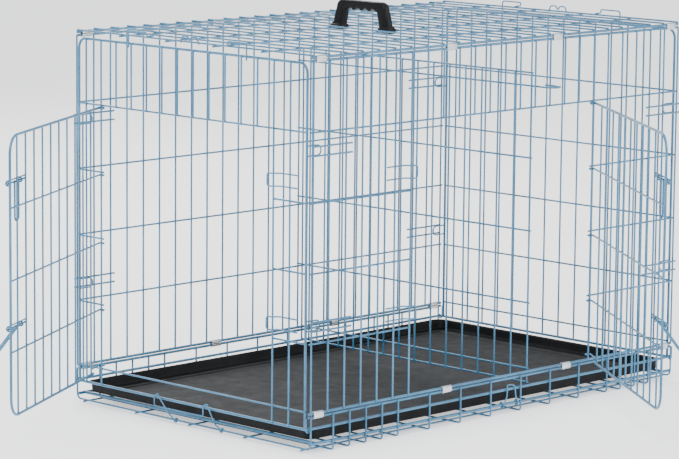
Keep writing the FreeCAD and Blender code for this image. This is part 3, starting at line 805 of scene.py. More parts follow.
# ---- side, top and end panels -------------------------------------------------------------
@dataclass
class Cage:
    """The fixed panels: front, rear and roof, with the hooks and receivers on them."""

    levels: Levels
    opening: tuple[int, int] = (6, 18)
    receiver: float = 2.3 * PITCH
    receiver_gap: float = 20.0
    hook_inner: float = 130.0

    def columns(self, first: int, last: int) -> list[float]:
        """X of the side uprights from one number to another."""
        return [-self.levels.half_length + PITCH * i for i in range(first, last + 1)]

    def side_grille(self, node: str, side: Side, columns: list[float], low: float, high: float,
                    rows: Sequence[tuple[float, float]]) -> WireWork:
        """A grille in a side panel's plane.

        Args:
            node: the CAD node that it stands for.
            side: front or rear.
            columns: X of the uprights.
            low: their lower end.
            high: their upper end.
            rows: height and diameter of each level wire.

        Returns:
            The wires, not yet made.
        """
        work = WireWork(f"{node}_wires", "crate", (node,), sway=0.9)
        box_low, box_high = node_box(node)
        grille = Grille(work, Axis.X, Axis.Z, Axis.Y, side.value * self.levels.half_width,
                        side.value * self.levels.level_y)
        grille.uprights(columns, low, high)
        for height, diameter in rows:
            grille.level(height, box_low.x, box_high.x, diameter, columns)
        return work

    def panels(self) -> list[WireWork]:
        """Front header, both front sections and the rear panel."""
        bays, top = self.levels.bays, self.levels.top
        first, last = self.opening
        thin_rows = [(z, THIN) for z in bays[1:4]]
        section = (self.levels.base + 1, self.levels.header)
        return [
            self.side_grille("front_header", Side.LOW, self.columns(0, 24), self.levels.header, top,
                             [(self.levels.header, THIN), (top, EDGE)]),
            self.side_grille("front_left_grille", Side.LOW, self.columns(0, first), *section, thin_rows),
            self.side_grille("front_right_grille", Side.LOW, self.columns(last, 24), *section, thin_rows),
            self.side_grille("rear_panel", Side.HIGH, self.columns(0, 24), self.levels.base, top,
                             [(bays[0], EDGE)] + [(z, THIN) for z in bays[1:5]] + [(top, EDGE)]),
        ]

    def sill(self) -> WireWork:
        """Bottom wire of the front panel."""
        work = WireWork("front_sill_wire", "crate", ("front_sill",), sway=0.5)
        low, high = node_box("front_sill")
        y, z = (low.y + high.y) / 2, (low.z + high.z) / 2
        work.straight((low.x, y, z), (high.x, y, z), EDGE)
        first, last = self.opening
        for x in self.columns(0, first) + self.columns(last, 24):
            work.nugget((x, y - EDGE / 2 + SUNK, z + 1))
        return work

    def roof(self) -> WireWork:
        """Roof grille: long wires with cross wires over them."""
        work = WireWork("roof_panel_wires", "crate", ("roof_panel",), sway=0.9)
        low, high = node_box("roof_panel")
        cross = self.levels.roof_cross
        columns = self.columns(0, 24)
        grille = Grille(work, Axis.X, Axis.Y, Axis.Z, cross, cross - THIN + WELD)
        grille.uprights(columns, low.y, high.y)
        for k in range(6):
            if k in (0, 5):
                y = math.copysign(self.levels.level_y, k - 1)
                reach = self.levels.half_length + ROW_END
                grille.level(y, -reach, reach, EDGE, columns, self.levels.roof_edge)
            else:
                y = -self.levels.half_width + BAY * k
                grille.level(y, low.x, high.x, THIN, columns)
        return work

    def receivers(self, side: Side) -> WireWork:
        """Pairs of short wires at both ends of a side panel."""
        node = "rear_receivers" if side is Side.HIGH else "front_receivers"
        work = WireWork(f"{node}_wires", "crate", (node,))
        low, high = node_box(node)
        y = (low.y + high.y) / 2
        tip = self.levels.half_length - self.receiver
        for height in RECEIVER_HEIGHTS:
            for z in (height - self.receiver_gap / 2, height + self.receiver_gap / 2):
                for end in Side:
                    work.path([(end.value * high.x, y, z), (end.value * tip, y, z)], THIN)
                    for i in range(3):
                        x = end.value * (self.levels.half_length - PITCH * i)
                        work.nugget((x, (y + side.value * self.levels.half_width) / 2, z))
        return work

    def hooks(self, end: Side) -> WireWork:
        """Bent forms on one end of the roof."""
        node = "roof_hooks_left" if end is Side.LOW else "roof_hooks_right"
        work = WireWork(f"{node}_wires", "crate", (node,), place=lambda p: (-end.value * p[0], p[1], p[2]))
        low, high = node_box(node)
        x = -max(abs(low.x), abs(high.x)) + FORM / 2
        top, cross = high.z - FORM / 2, self.levels.roof_cross
        seat = cross + (THIN + FORM) / 2 - WELD
        half = self.levels.half_length
        for side in Side:
            near, far = side.value * self.hook_inner, side.value * (high.y - FORM / 2)
            line = [(x, far, low.z), (x, far, top), (x, near, top), (x, near, seat), (-half + 8, near, seat)]
            work.bent(line)
            work.nugget((-half, near, (cross + seat) / 2 + SUNK))
        x = -half - (THIN + FORM) / 2 + WELD
        bottom = cross - 3
        hump = [(x, -29, bottom), (x, -23, top), (x, -6, top), (x, 0, cross + 1), (x, 6, top), (x, 23, top)]
        work.bent(hump + [(x, 29, bottom)], FORM, 7.0)
        for y in (-27.5, 0, 27.5):
            work.nugget((x + FORM / 2 - 0.1, y, cross), FORM_NUGGET)
        return work

    def pieces(self) -> list[WireWork]:
        """Every fixed piece of wire above the base."""
        work = self.panels() + [self.sill(), self.roof()]
        work += [self.receivers(side) for side in Side]
        return work + [self.hooks(end) for end in Side]


@dataclass
class EndPanels:
    """The two end panels: the left one with its door opening, the right one closed."""

    levels: Levels
    half: float = PANEL_HALF
    sill: float = 92.0
    door_from: float = -270.4
    door_to: float = 288.4
    join: float = 3.0
    loop_depth: float = 40.0
    loop_half: float = 11.0
    loop_bend: float = 10.5
    corner: float = 22.0
    arch_weld: float = 2.2
    strip_weld: float = 2.3
    row_weld: float = 2.6
    sill_weld: float = 2.7
    pivot_weld: float = 3.0
    weld_back: float = 1.8

    def columns(self, low: float, high: float) -> list[float]:
        """Y of the inner uprights between two limits."""
        return [y for y in steps(self.door_from - PITCH, 14) if low - 1 < y < high + 1]

    def grille(self, node: str, body: str, end: Side) -> Grille:
        """An empty grille in an end panel's planes."""
        work = WireWork(f"{node}_wires", body, (node,), sway=0.7)
        return Grille(work, Axis.Y, Axis.Z, Axis.X, end.value * self.levels.end_upright,
                      end.value * self.levels.end_level)

    def arch(self, work: WireWork, end: Side, bottom: float) -> None:
        """Frame wire up one side, over the top and down the other."""
        x, top = end.value * self.levels.end_level, self.levels.end_top
        half = self.half
        line = [(x, y, z) for y, z in ((-half, bottom), (-half, top), (half, top), (half, bottom))]
        work.bent(line, EDGE, self.corner)

    def header(self) -> WireWork:
        """Left end above the door."""
        grille = self.grille("left_end_header", "left_end", Side.LOW)
        self.arch(grille.work, Side.LOW, self.levels.header - self.join)
        places = self.columns(-self.half, self.half)
        grille.uprights(places, self.levels.header, self.levels.end_top)
        crossing = places + [-self.half, self.half]
        grille.level(self.levels.header, -self.half - 1, self.half + 1, THIN, crossing)
        for y in places:
            spot = (-self.levels.end_level - self.weld_back, y, self.levels.end_top)
            grille.work.nugget(spot, self.arch_weld)
        return grille.work

    def strip(self, node: str, low: float, high: float) -> WireWork:
        """Left end beside the door."""
        grille = self.grille(node, "left_end", Side.LOW)
        frame_y = math.copysign(self.half, low + high)
        x = -self.levels.end_level
        top = self.levels.header - self.join
        grille.work.straight((x, frame_y, self.sill + THIN / 2), (x, frame_y, top), EDGE)
        places = self.columns(low, high)
        grille.uprights(places, self.sill, self.levels.header)
        for z in self.levels.bays[1:4]:
            grille.level(z, low, high, THIN, places)
            grille.work.nugget((x, frame_y - math.copysign(self.arch_weld, frame_y), z), self.strip_weld)
        return grille.work

    def sill_frame(self) -> WireWork:
        """Bottom of the left end: pivot wire, sill and ties."""
        grille = self.grille("left_end_sill", "left_end", Side.LOW)
        low, high = node_box("left_end_sill")
        ties = self.columns(-self.half, self.door_from) + self.columns(self.door_to, self.half)
        grille.level(self.levels.pivot, low.y, high.y, EDGE, ties)
        grille.level(self.sill, -self.half - 3, self.half + 3, THIN, ties)
        grille.uprights(ties, self.levels.pivot - 1, self.sill)
        for y in (-self.half, self.half):
            x = -self.levels.end_level
            grille.work.straight((x, y, self.levels.pivot), (x, y, self.sill), EDGE)
            grille.work.nugget((x, y, self.sill), self.sill_weld)
            grille.work.nugget((x, y, self.levels.pivot), self.pivot_weld)
        return grille.work

    def closed_panel(self) -> WireWork:
        """The right end in one grille."""
        grille = self.grille("right_end_panel", "right_end", Side.HIGH)
        grille.work.nodes = ("right_end_panel", "right_end_pivot")
        low, high = node_box("right_end_pivot")
        self.arch(grille.work, Side.HIGH, self.levels.pivot)
        places = self.columns(-self.half, self.half)
        grille.uprights(places, self.levels.pivot - 1, self.levels.end_top)
        grille.level(self.levels.pivot, low.y, high.y, EDGE, places)
        for z in [self.sill] + self.levels.bays[1:5]:
            grille.level(z, -self.half - 1, self.half + 1, THIN, places)
            for y in (-self.half, self.half):
                grille.work.nugget((self.levels.end_level, y, z), self.row_weld)
        for y in places:
            spot = (self.levels.end_level + self.weld_back, y, self.levels.end_top)
            grille.work.nugget(spot, self.arch_weld)
        return grille.work

    def loops(self, end: Side) -> WireWork:
        """Loops on the frame that lie along the side panels."""
        name, body = ("left_end_loops", "left_end") if end is Side.LOW else ("right_end_loops", "right_end")
        work = WireWork(f"{name}_wires", body, (name,))
        for height in RECEIVER_HEIGHTS:
            for side in (-1, 1):
                y = side * (self.half + 2)
                near = end.value * (self.levels.end_level - 0.8)
                far = end.value * (self.levels.end_level - self.loop_depth)
                low, high = height - self.loop_half, height + self.loop_half
                work.bent([(near, y, low), (far, y, low), (far, y, high), (near, y, high)], FORM, self.loop_bend)
        return work

    def pieces(self) -> list[WireWork]:
        """Every wire piece of both end panels."""
        return [
            self.header(),
            self.strip("left_end_front_strip", -self.half, self.door_from + 4),
            self.strip("left_end_rear_strip", self.door_to - 4, self.half),
            self.sill_frame(), self.closed_panel(), self.loops(Side.LOW), self.loops(Side.HIGH),
        ]


# ---- doors and latches --------------------------------------------------------------------
class Doorway(Enum):
    """Which opening a door hangs in: node prefix, leaf body, keeper node and keeper body."""

    END = ("end_door", "end_door_leaf", "left_end_keepers", "left_end")
    FRONT = ("front_door", "front_door_leaf", "front_keepers", "crate")


@dataclass
class Door:
    """A door leaf with its hinge curls, two latches and the keepers that the bolts run behind.

    It is laid out closed, its hinge wire on the Z axis, reaching along -X, outside towards -Y.
    """

    doorway: Doorway
    levels: Levels
    hinge: tuple[float, float]
    width: float
    opened: float
    corner: float = 40.0
    shy: float = 7.3
    lowest_eye: float = 101.0
    tail: float = 112.0
    legs: tuple[float, float] = (49.5, 72.5)
    guides: tuple[float, float] = (10.5, 81.5)
    drop: float = 85.0
    hook_lead: float = 12.0
    eye_length: float = 3.4
    guide_rise: float = 7.0
    guide_length: float = 105.0
    keeper_gap: float = 28.0
    rim_weld: float = 2.7
    bolt_weld: float = 3.1

    @property
    def plane(self) -> float:
        """Hinge axis to the level wires."""
        return EDGE / 2 + THIN / 2 + SLACK

    @property
    def face(self) -> float:
        """Hinge axis to the uprights."""
        return self.plane + THIN - WELD

    @property
    def bolt_plane(self) -> float:
        """Hinge axis to the bolts."""
        return self.face + THIN / 2 + SLACK + BOLT / 2

    @property
    def edge(self) -> float:
        """Hinge axis to the free edge wire."""
        return self.width - self.shy

    def placed(self, opened: float) -> Place:
        """A placement that swings a point of the closed door and sets it at its hinge.

        Args:
            opened: how far the door stands open, in degrees.

        Returns:
            A function from the door's own frame to the crate's.
        """
        angle = math.radians(opened if self.doorway is Doorway.FRONT else -opened)
        turn = Matrix.Rotation(angle, 3, "Z")
        origin = Vector((*self.hinge, 0))

        def place(point: Point) -> Point:
            x, y, z = point
            local = Vector((x, y, z)) if self.doorway is Doorway.FRONT else Vector((y, x, z))
            return tuple(turn @ local + origin)

        return place

    def hooked(self, work: WireWork, z: float, reach: float, diameter: float,
               beyond: Sequence[Point] = ()) -> None:
        """A level wire whose hinge end curls round the hinge wire.

        Args:
            work: where it is laid.
            z: its height.
            reach: its length from the hinge axis.
            diameter: of the wire.
            beyond: points that it follows in place of a straight run.
        """
        p = self.plane
        curl = arc((0, 0, z), (p, 0, 0), (0, p, 0), (165, -90))
        work.path(curl + [(-self.hook_lead, -p, z)] + list(beyond or [(-reach, -p, z)]), diameter)

    def leaf(self) -> WireWork:
        """The door's grille."""
        prefix, body = self.doorway.value[:2]
        work = WireWork(f"{prefix}_wires", body, (prefix,), place=self.placed(self.opened))
        low, high = DOOR_LEVELS[0], DOOR_LEVELS[-1]
        edge, p, first = self.edge, self.plane, self.edge % PITCH
        rim = [(-self.hook_lead, -p, high), (-edge, -p, high), (-edge, -p, low), (-first + 4, -p, low)]
        self.hooked(work, high, edge, EDGE, rounded(rim, self.corner, 12)[1:])
        self.hooked(work, self.lowest_eye, first + 4, THIN)
        for z in DOOR_LEVELS[1:-1]:
            self.hooked(work, z, edge + 3.5, THIN)
            work.nugget((-edge, -p, z), self.rim_weld)
        for i in range(round((edge - first) / PITCH)):
            x = -first - PITCH * i
            work.straight((x, -self.face, low - 1), (x, -self.face, high + 1))
            for z in DOOR_LEVELS:
                work.nugget((x, -(self.face + p) / 2, z))
        work.nugget((-first, -(self.face + p) / 2, self.lowest_eye))
        return work

    def guide(self, level: str, z: float) -> WireWork:
        """A bent form on the uprights with two coiled eyes for the bolt."""
        prefix, body = self.doorway.value[:2]
        node = f"{prefix}_{level}_guide"
        work = WireWork(f"{node}_wire", body, (node,), place=self.placed(self.opened))
        edge, seat = self.edge, self.face + (THIN + FORM) / 2 - WELD
        radius = BOLT / 2 + SLACK + FORM / 2
        run = z + self.guide_rise
        line: list[Point] = [(-edge - 1, -seat, run)]
        for back in self.guides:
            x = back - edge
            line.append((x - 3.5, -seat, run))
            line += arc((x - self.eye_length / 2, -self.bolt_plane, z), (0, 0, radius), (0, -radius, 0),
                        (0, 360), (self.eye_length, 0, 0))
            line.append((x + 3.5, -seat, run))
        line.append((self.guide_length - edge, -seat, run))
        work.path(line, FORM)
        for x in steps(-edge, 3):
            work.nugget((x, -(self.face + seat) / 2, run), FORM_NUGGET)
        return work

    def bolt(self, level: str, z: float, lean: float) -> WireWork:
        """A sliding bolt: a rod with a nipped tip and a hanging handle of the same wire."""
        prefix = self.doorway.value[0]
        node = f"{prefix}_{level}_bolt"
        work = WireWork(f"{node}_wire", f"{node}_rod", (node,), place=self.placed(self.opened))
        edge, p = self.edge, self.bolt_plane
        work.path([(-edge - 0.5, -p, z), (-edge + self.tail, -p, z)], BOLT)
        angle = math.radians(lean)
        out, drop = self.drop * math.sin(angle), self.drop * math.cos(angle)
        near, far = -edge + self.legs[0], -edge + self.legs[1]
        shape = [(near, -p, z), (near, -p - out, z - drop), (far, -p - out, z - drop), (far, -p, z)]
        work.path(rounded(shape, 11.0, 10), BOLT)
        for x in (near, far):
            work.nugget((x, -p, z), self.bolt_weld)
        return work

    def keepers(self) -> WireWork:
        """Two loops beside the opening, their closed ends standing off for the bolts."""
        _, _, node, body = self.doorway.value
        work = WireWork(f"{node}_wires", body, (node,), place=self.placed(0.0))
        seat = (THIN + FORM) / 2 - WELD
        bridge = self.bolt_plane + (BOLT + FORM) / 2 + SLACK
        leg = [(-self.width - back, -y) for back, y in ((80, seat), (26, seat), (12, bridge), (0, bridge))]
        for height in LATCH_HEIGHTS:
            low, high = height - self.keeper_gap / 2, height + self.keeper_gap / 2
            work.bent([(x, y, high) for x, y in leg] + [(x, y, low) for x, y in reversed(leg)], FORM, 8.0)
            for z in (low, high):
                work.nugget((-self.width - PITCH, -seat / 2, z), FORM_NUGGET)
        return work

    def pieces(self) -> list[WireWork]:
        """Every wire piece of the door."""
        work = [self.leaf(), self.keepers()]
        for level, z, lean in zip(("upper", "lower"), LATCH_HEIGHTS, (0.0, 37.0)):
            work += [self.guide(level, z), self.bolt(level, z, lean)]
        return work


# ---- loose wire parts ---------------------------------------------------------------------
@dataclass
class Bails:
    """The two swinging bails on the base."""

    levels: Levels
    eye_length: float = 3.4
    bend: float = 5.0

    def wire(self, work: WireWork, eyes: Sequence[Point], turn: tuple[Point, Point], rises: Sequence[Point],
             line: Sequence[Point]) -> WireWork:
        """Lays a bail: a coiled eye, the bent line and a second eye.

        Args:
            work: where it is laid.
            eyes: where the two coils start, on the wire that they turn on.
            turn: from a coil's axis to the line, and a quarter turn on.
            rises: how far each coil climbs along the axis.
            line: corners between the eyes.

        Returns:
            The work.
        """
        start = arc(eyes[0], *turn, (-360, 0), rises[0])
        finish = arc(eyes[1], *turn, (0, -360), rises[1])
        work.path(start[:-1] + rounded(line, self.bend, 5) + finish[1:], FORM)
        return work

    def tray_bail(self) -> WireWork:
        """Hooks over the left end's pivot wire and stops the tray."""
        work = WireWork("tray_bail_wire", "tray_stop", ("tray_bail",))
        half, z = self.levels.half_length, self.levels.end_wire
        turn = THIN / 2 + SLACK + FORM / 2
        x = -half - turn
        face = -self.levels.end_level - EDGE / 2 - FORM / 2 - 1.5
        over = self.levels.pivot + EDGE / 2 + FORM / 2 + 3
        line = [
            (x, 47, z + 2), (face, 58, 24), (face, 92, over - 3), (face + 4, 98, over + 2),
            (face, 106, over - 3), (face, 106, 35), (face, -54, 35), (face, -54, over - 3),
            (face + 4, -62, over + 2), (face, -70, over - 3), (face, -92, 24), (x, -103, z + 2),
        ]
        climb = self.eye_length
        return self.wire(work, [(-half, 44, z), (-half, -101.6, z)], ((-turn, 0, 0), (0, 0, turn)),
                         [(0, climb, 0), (0, -climb, 0)], line)

    def front_bail(self) -> WireWork:
        """Hooks over the base's front mid wire."""
        work = WireWork("front_bail_wire", "front_stop", ("front_bail",))
        turn = HEAVY / 2 + SLACK + FORM / 2
        axis_y = -self.levels.level_y
        y = axis_y - turn
        over = RAIL + EDGE / 2 + FORM / 2 + 3
        line = [
            (11.5, y, SKID + 2), (20, y, SKID + 18), (22, y, over - 2), (27, y + 5, over + 2),
            (43, y + 5, over + 2), (48, y, over - 2), (50, y, SKID + 18), (58.5, y, SKID + 2),
        ]
        climb = (self.eye_length, 0, 0)
        return self.wire(work, [(8, axis_y, SKID), (58.6, axis_y, SKID)], ((0, -turn, 0), (0, 0, turn)),
                         [climb, climb], line)

    def pieces(self) -> list[WireWork]:
        """Both bails."""
        return [self.tray_bail(), self.front_bail()]


@dataclass
class Divider:
    """The loose cross grille."""

    def pieces(self) -> list[WireWork]:
        """Its single piece."""
        work = WireWork("divider_wires", "divider", ("divider_panel", "divider_hook"), sway=0.7)
        low, high = node_box("divider_panel")
        side = low.x + THIN / 2
        x = side + THIN - WELD
        inside, through = PANEL_HALF + 1.5, high.y
        places = steps(-PANEL_HALF, 15) + [PANEL_HALF]
        grille = Grille(work, Axis.Y, Axis.Z, Axis.X, side, x)
        grille.uprights(places, DIVIDER_LEVELS[-1] - 2, DIVIDER_LEVELS[0] + 2)
        for i, z in enumerate(DIVIDER_LEVELS):
            rear = through if i < 5 else inside
            grille.level(z, -inside, rear, THIN, places)
        z = DIVIDER_LEVELS[1]
        hook = [(0, 1 - inside), (0, -402), (12, -428), (32, -426), (38.5, -400), (38.5, -372)]
        work.bent([(x + out, y, z) for out, y in hook], THIN, 12.0)
        return [work]


# ---- clips --------------------------------------------------------------------------------
@dataclass
class ClipRow:
    """Spring-steel clips on one long edge, each wrapped round two wires and left open inside."""

    node: str
    places: tuple[float, ...]
    outward: Side
    length: float = 30.0
    wall: float = 1.2
    slack: float = 0.25
    wrap: float = 228.0
    lip: tuple[float, float] = (1.1, 1.4)
    ease: float = 0.55

    def section(self, low: float, high: float) -> list[tuple[float, float]]:
        """Middle line of the strip in Y and Z, from one lip to the other.

        Args:
            low: height of the lower wire.
            high: height of the upper wire.

        Returns:
            Points for a clip whose closed side faces -Y.
        """
        radius, middle = EDGE / 2 + self.slack + self.wall / 2, (low + high) / 2
        out, back = self.lip
        line = [(radius + out, middle - back)]
        for first, centre in ((self.wrap - 180, low), (180.0, high)):
            for i in range(19):
                angle = math.radians(first - i * self.wrap / 18)
                line.append((radius * math.cos(angle), centre + radius * math.sin(angle)))
            if centre == low:
                line.append((-radius + 0.45, middle))
        line.append((radius + out, middle + back))
        return line

    def part(self, low: float, high: float) -> Object:
        """One clip as a closed strip of sheet with eased ends."""
        line = [Vector((y, z)) for y, z in self.section(low, high)]
        rims: list[tuple[Vector, Vector]] = []
        for i, point in enumerate(line):
            ahead = line[min(i + 1, len(line) - 1)] - line[max(i - 1, 0)]
            rims.append((point, Vector((-ahead.y, ahead.x)).normalized()))
        end, third = self.length / 2, self.length / 6
        rings: list[list[Point]] = []
        for x, ease in ((-end, self.ease), (NIP - end, 1.0), (-third, 1.0), (third, 1.0), (end - NIP, 1.0),
                        (end, self.ease)):
            half = self.wall / 2 * ease
            ring = [p + n * half for p, n in rims] + [p - n * half for p, n in reversed(rims)]
            rings.append([(x, -self.outward.value * p.x, p.y) for p in ring])
        return bpy.data.objects.new(f"{self.node}_part", skin(f"{self.node}_part", rings))

    def mesh(self, tree: Tree, steel: Material) -> Object:
        """Sets the clips out along their edge."""
        low, high = node_box(self.node)
        rim = EDGE / 2 + self.slack + self.wall
        y = (low.y + high.y) / 2
        part = self.part(low.z + rim, high.z - rim)
        data = bpy.data.meshes.new(f"{self.node}_strips")
        data.from_pydata([(x * MM, y * MM, 0) for x in self.places], [], [])
        obj = linked(f"{self.node}_strips", data)
        grown(obj, tree, 50.0, Part=part, Material=steel)
        bpy.data.objects.remove(part)
        finish_piece(obj, "crate", (self.node,))
        return obj


def skin(name: str, rings: Sequence[Sequence[Point]]) -> bpy.types.Mesh:
    """A closed skin over rings of equal count, capped at both ends, with its faces outwards.

    Args:
        name: of the mesh.
        rings: loops of points in millimetres.

    Returns:
        The mesh, in metres.
    """
    count, last = len(rings[0]), (len(rings) - 1) * len(rings[0])
    faces = [tuple(range(count))]
    for a in range(0, last, count):
        b = a + count
        faces += [(a + i, a + (i + 1) % count, b + (i + 1) % count, b + i) for i in range(count)]
    faces.append(tuple(range(last, last + count)))
    data = bpy.data.meshes.new(name)
    data.from_pydata([Vector(p) * MM for ring in rings for p in ring], [], faces)
    work = bmesh.new()
    work.from_mesh(data)
    bmesh.ops.remove_doubles(work, verts=work.verts, dist=MM / 100)
    bmesh.ops.recalc_face_normals(work, faces=work.faces)
    work.to_mesh(data)
    work.free()
    return data


def lofted(name: str, rings: Sequence[Sequence[Point]], material: Material, sharp: float) -> Object:
    """An object with a closed skin over rings.

    Args:
        name: of the object.
        rings: loops of points in millimetres.
        material: its finish.
        sharp: angle in degrees above which an edge stays sharp.

    Returns:
        The object, linked to the scene.
    """
    data = skin(name, rings)
    data.materials.append(material)
    smoothed(data, sharp)
    return linked(name, data)


def squared(angle: float, power: float) -> tuple[float, float]:
    """A point of the unit circle, pushed out towards the corners of a square."""
    c, s = math.cos(angle), math.sin(angle)
    return math.copysign(abs(c) ** power, c), math.copysign(abs(s) ** power, s)


# ---- moulded parts ------------------------------------------------------------------------
@dataclass
class Tray:
    """A shallow moulded pan with a rolled lip and a raised line round its floor."""

    corner: float = 22.0
    lip: float = 6.0
    wall: float = 2.5

    def loop(self, size: Vector, inset: float, z: float) -> list[Point]:
        """A rounded rectangle.

        Args:
            size: half length and half width over the lip.
            inset: from the lip's outer edge.
            z: its height.

        Returns:
            Points, eleven to each corner.
        """
        radius = max(self.corner + self.lip - inset, 5.0)
        x, y = size.x - inset - radius, size.y - inset - radius
        points: list[Point] = []
        for turn, (sx, sy) in enumerate(((1, 1), (-1, 1), (-1, -1), (1, -1))):
            for i in range(11):
                angle = math.radians(90 * turn + 9 * i)
                points.append((sx * x + radius * math.cos(angle), sy * y + radius * math.sin(angle), z))
        return points

    def mesh(self, plastic: Material) -> Object:
        """Lofts the pan from its underside over the lip to its floor."""
        low, high = node_box("tray")
        size = Vector((high.x, high.y, 0))
        floor, top = low.z + self.wall, high.z
        under = [(16.0, 0.0), (12.0, 0.2), (8.6, 1.6), (7.2, 5.0)]
        rim = [(6.0, 4.4), (5.0, 3.0), (3.2, 2.6), (1.2, 2.9), (0.3, 2.4), (0.0, 1.5), (0.3, 0.6), (1.2, 0.1),
               (3.4, 0.0), (5.6, 0.2), (7.4, 1.2), (8.6, 3.2)]
        inside = [(9.7, 6.0), (11.6, 2.0), (15.0, 0.4), (20.0, 0.0), (34.5, 0.0), (36.0, 0.5), (37.4, 2.1),
                  (39.0, 2.5), (45.0, 2.5), (46.6, 2.1), (48.0, 0.5), (49.5, 0.0), (60.0, 0.0), (200.0, 0.0)]
        profile = [(inset, low.z + rise) for inset, rise in under]
        profile += [(inset, top - drop) for inset, drop in rim]
        profile += [(inset, floor + rise) for inset, rise in inside]
        obj = lofted("tray_pan_shell", [self.loop(size, inset, z) for inset, z in profile], plastic, 60.0)
        finish_piece(obj, "tray_pan", ("tray",))
        return obj


@dataclass
class Handle:
    """A moulded grip with four finger hollows on two feet that snap over the roof's long wires."""

    width: float = 20.0
    hollow: float = 5.0
    spacing: float = 24.0

    def stations(self, base: float, top: float) -> list[tuple[Vector, Vector]]:
        """Outer and inner line of the arch in Y and Z, from one foot to the other."""
        half: list[tuple[Vector, Vector]] = []
        for i in range(13):
            t = i / 12
            bow = 1.5 * math.sin(math.pi * t)
            half.append((Vector((-90 + 12 * t - bow, base + (top - 17 - base) * t)),
                         Vector((-59 + 7 * t, base + (top - 29 - base) * t))))
        for i in range(1, 11):
            angle = math.radians(180 - 9 * i)
            outer = Vector((-60 + 18 * math.cos(angle), top - 17 + 17 * math.sin(angle)))
            inner = Vector((-47 + 5 * math.cos(angle), top - 29 + 6 * math.sin(angle)))
            half.append((outer, inner))
        grip: list[tuple[Vector, Vector]] = []
        for i in range(1, 96):
            share = i / 96
            outer_y, inner_y = -60 + 120 * share, -47 + 94 * share
            wave = 0.5 + 0.5 * math.cos(2 * math.pi * (inner_y - self.spacing / 2) / self.spacing)
            grip.append((Vector((outer_y, top)), Vector((inner_y, top - 23 + self.hollow * wave ** 0.8))))
        mirrored = [(Vector((-o.x, o.y)), Vector((-n.x, n.y))) for o, n in reversed(half)]
        return half + grip + mirrored

    def ring(self, outer: Vector, inner: Vector, x: float) -> list[Point]:
        """A soft-cornered section between the outer and the inner line."""
        middle, arm = (outer + inner) / 2, (outer - inner) / 2
        points: list[Point] = []
        for i in range(28):
            across, through = squared(2 * math.pi * i / 28, 0.42)
            spot = middle + arm * through
            points.append((x + across * self.width / 2, spot.x, spot.y))
        return points

    def foot(self, x: float, y: float, low: float) -> list[list[Point]]:
        """Rings of one foot, from its underside up to its shoulder."""
        levels = ((13.0, 15.0, 0.0), (15.2, 17.2, 0.6), (16.0, 18.0, 2.0), (16.0, 18.0, 10.5),
                  (15.4, 17.6, 12.0), (13.4, 17.2, 12.8), (11.6, 16.6, 14.6), (10.6, 15.8, 17.0))
        rings: list[list[Point]] = []
        for half_x, half_y, rise in levels:
            corners = [squared(2 * math.pi * (i + 0.5) / 32, 0.35) for i in range(32)]
            rings.append([(x + across * half_x, y + along * half_y, low + rise) for across, along in corners])
        return rings

    def mesh(self, plastic: Material) -> list[Object]:
        """Makes the grip and its feet."""
        low, high = node_box("carry_handle")
        x = (low.x + high.x) / 2
        base, top = low.z + 9.0, high.z
        rings = [self.ring(outer, inner, x) for outer, inner in self.stations(base, top)]
        pieces = [lofted("carry_handle_grip", rings, plastic, 50.0)]
        for side in Side:
            rings = self.foot(x, side.value * BAY / 2, low.z)
            pieces.append(lofted(f"carry_handle_foot_{side.name.lower()}", rings, plastic, 50.0))
        for piece in pieces:
            finish_piece(piece, "crate", ("carry_handle",))
        return pieces


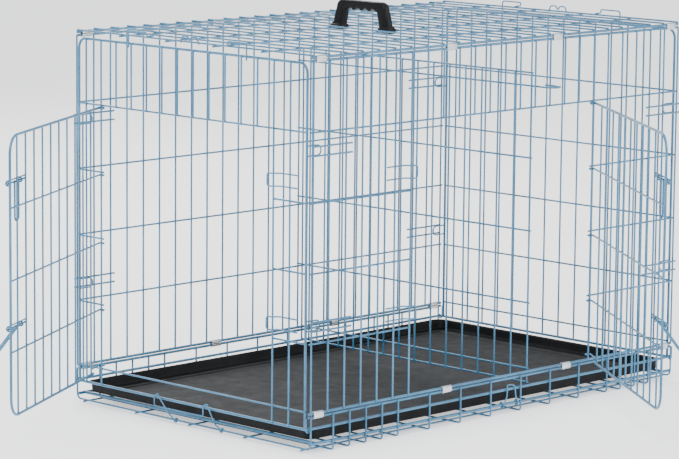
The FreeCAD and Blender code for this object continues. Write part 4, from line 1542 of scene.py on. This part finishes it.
# ---- studio -------------------------------------------------------------------------------
@dataclass
class Studio:
    """Pale floor, soft lights and the camera."""

    eye: tuple[float, float, float] = (-5.571, -5.359, 1.573)
    azimuth: float = -45.38
    elevation: float = 8.75
    roll: float = 0.54
    lens: float = 177.1
    aim: float = 0.4
    reach: float = 30.0
    sky: tuple[float, float, float, float] = (0.95, 0.97, 1.0, 1.0)
    sky_strength: float = 1.15

    def floor(self) -> None:
        """A wide pale floor."""
        data = bpy.data.meshes.new("studio_floor")
        corners = [(x * self.reach, y * self.reach, 0) for x, y in ((-1, -1), (1, -1), (1, 1), (-1, 1))]
        data.from_pydata(corners, [], [(0, 1, 2, 3)])
        data.materials.append(StudioFloor().material())
        linked("studio_floor", data)

    def light(self, name: str, place: Point, size: float, power: float) -> None:
        """A soft square lamp aimed at the middle of the crate."""
        data = bpy.data.lights.new(name, "AREA")
        data.size, data.energy = size, power
        obj = linked(name, data)
        obj.location = place
        obj.rotation_euler = (Vector(place) - Vector((0, 0, self.aim))).to_track_quat("Z", "Y").to_euler()

    def camera(self) -> None:
        """The camera, by its place, its direction and its roll."""
        data = bpy.data.cameras.new("camera")
        data.lens, data.sensor_width = self.lens, 36.0
        data.clip_end = 100.0
        obj = linked("camera", data)
        a, e = math.radians(self.azimuth), math.radians(self.elevation)
        back = Vector((math.sin(a) * math.cos(e), -math.cos(a) * math.cos(e), math.sin(e)))
        turn = back.to_track_quat("Z", "Y").to_matrix() @ Matrix.Rotation(math.radians(self.roll), 3, "Z")
        obj.matrix_world = Matrix.Translation(self.eye) @ turn.to_4x4()
        bpy.context.scene.camera = obj

    def build(self) -> None:
        """Sets up the studio."""
        self.floor()
        world = bpy.data.worlds.new("studio")
        world.use_nodes = True
        sky = next(n for n in world.node_tree.nodes if n.type == "BACKGROUND")
        sky.inputs["Color"].default_value = self.sky
        sky.inputs["Strength"].default_value = self.sky_strength
        bpy.context.scene.world = world
        self.light("key", (-3.5, -2.0, 4.2), 3.0, 260)
        self.light("fill", (3.0, -4.5, 2.5), 3.5, 110)
        self.light("rim", (1.5, 4.0, 3.5), 2.5, 140)
        self.camera()


def main() -> None:
    """Builds every sub-assembly in order."""
    logging.basicConfig(level=logging.INFO, format="%(message)s")
    levels = Levels.from_frame()
    paint, steel = PowderCoat().material(), Galvanised().material()
    wires, copies = wire_tree(), copies_tree()
    ends = EndPanels(levels)
    work = Base(levels).pieces() + Cage(levels).pieces() + ends.pieces()
    end_hinge, end_width = (-levels.end_upright, ends.door_to), ends.door_to - ends.door_from
    work += Door(Doorway.END, levels, end_hinge, end_width, opened=61.0).pieces()
    work += Door(Doorway.FRONT, levels, (6 * PITCH, -levels.half_width), 12 * PITCH, opened=55.0).pieces()
    work += Bails(levels).pieces() + Divider().pieces()
    for piece in work:
        piece.mesh(wires, paint)
    for edge, bays in (("top", (-11.5, -3.5, 3.5, 11.5)), ("bottom", (-11.5, -3.5, 4.5, 11.5))):
        for face, side in (("front", Side.LOW), ("rear", Side.HIGH)):
            ClipRow(f"clips_{edge}_{face}", tuple(PITCH * bay for bay in bays), side).mesh(copies, steel)
    Tray().mesh(MouldedPlastic("tray_plastic_grain", 520.0, 0.00025).material())
    Handle().mesh(MouldedPlastic("handle_plastic_grain", 900.0, 0.00012, gloss=(0.26, 0.42)).material())
    Studio().build()
    bpy.context.view_layer.update()


if __name__ == "__main__":
    main()
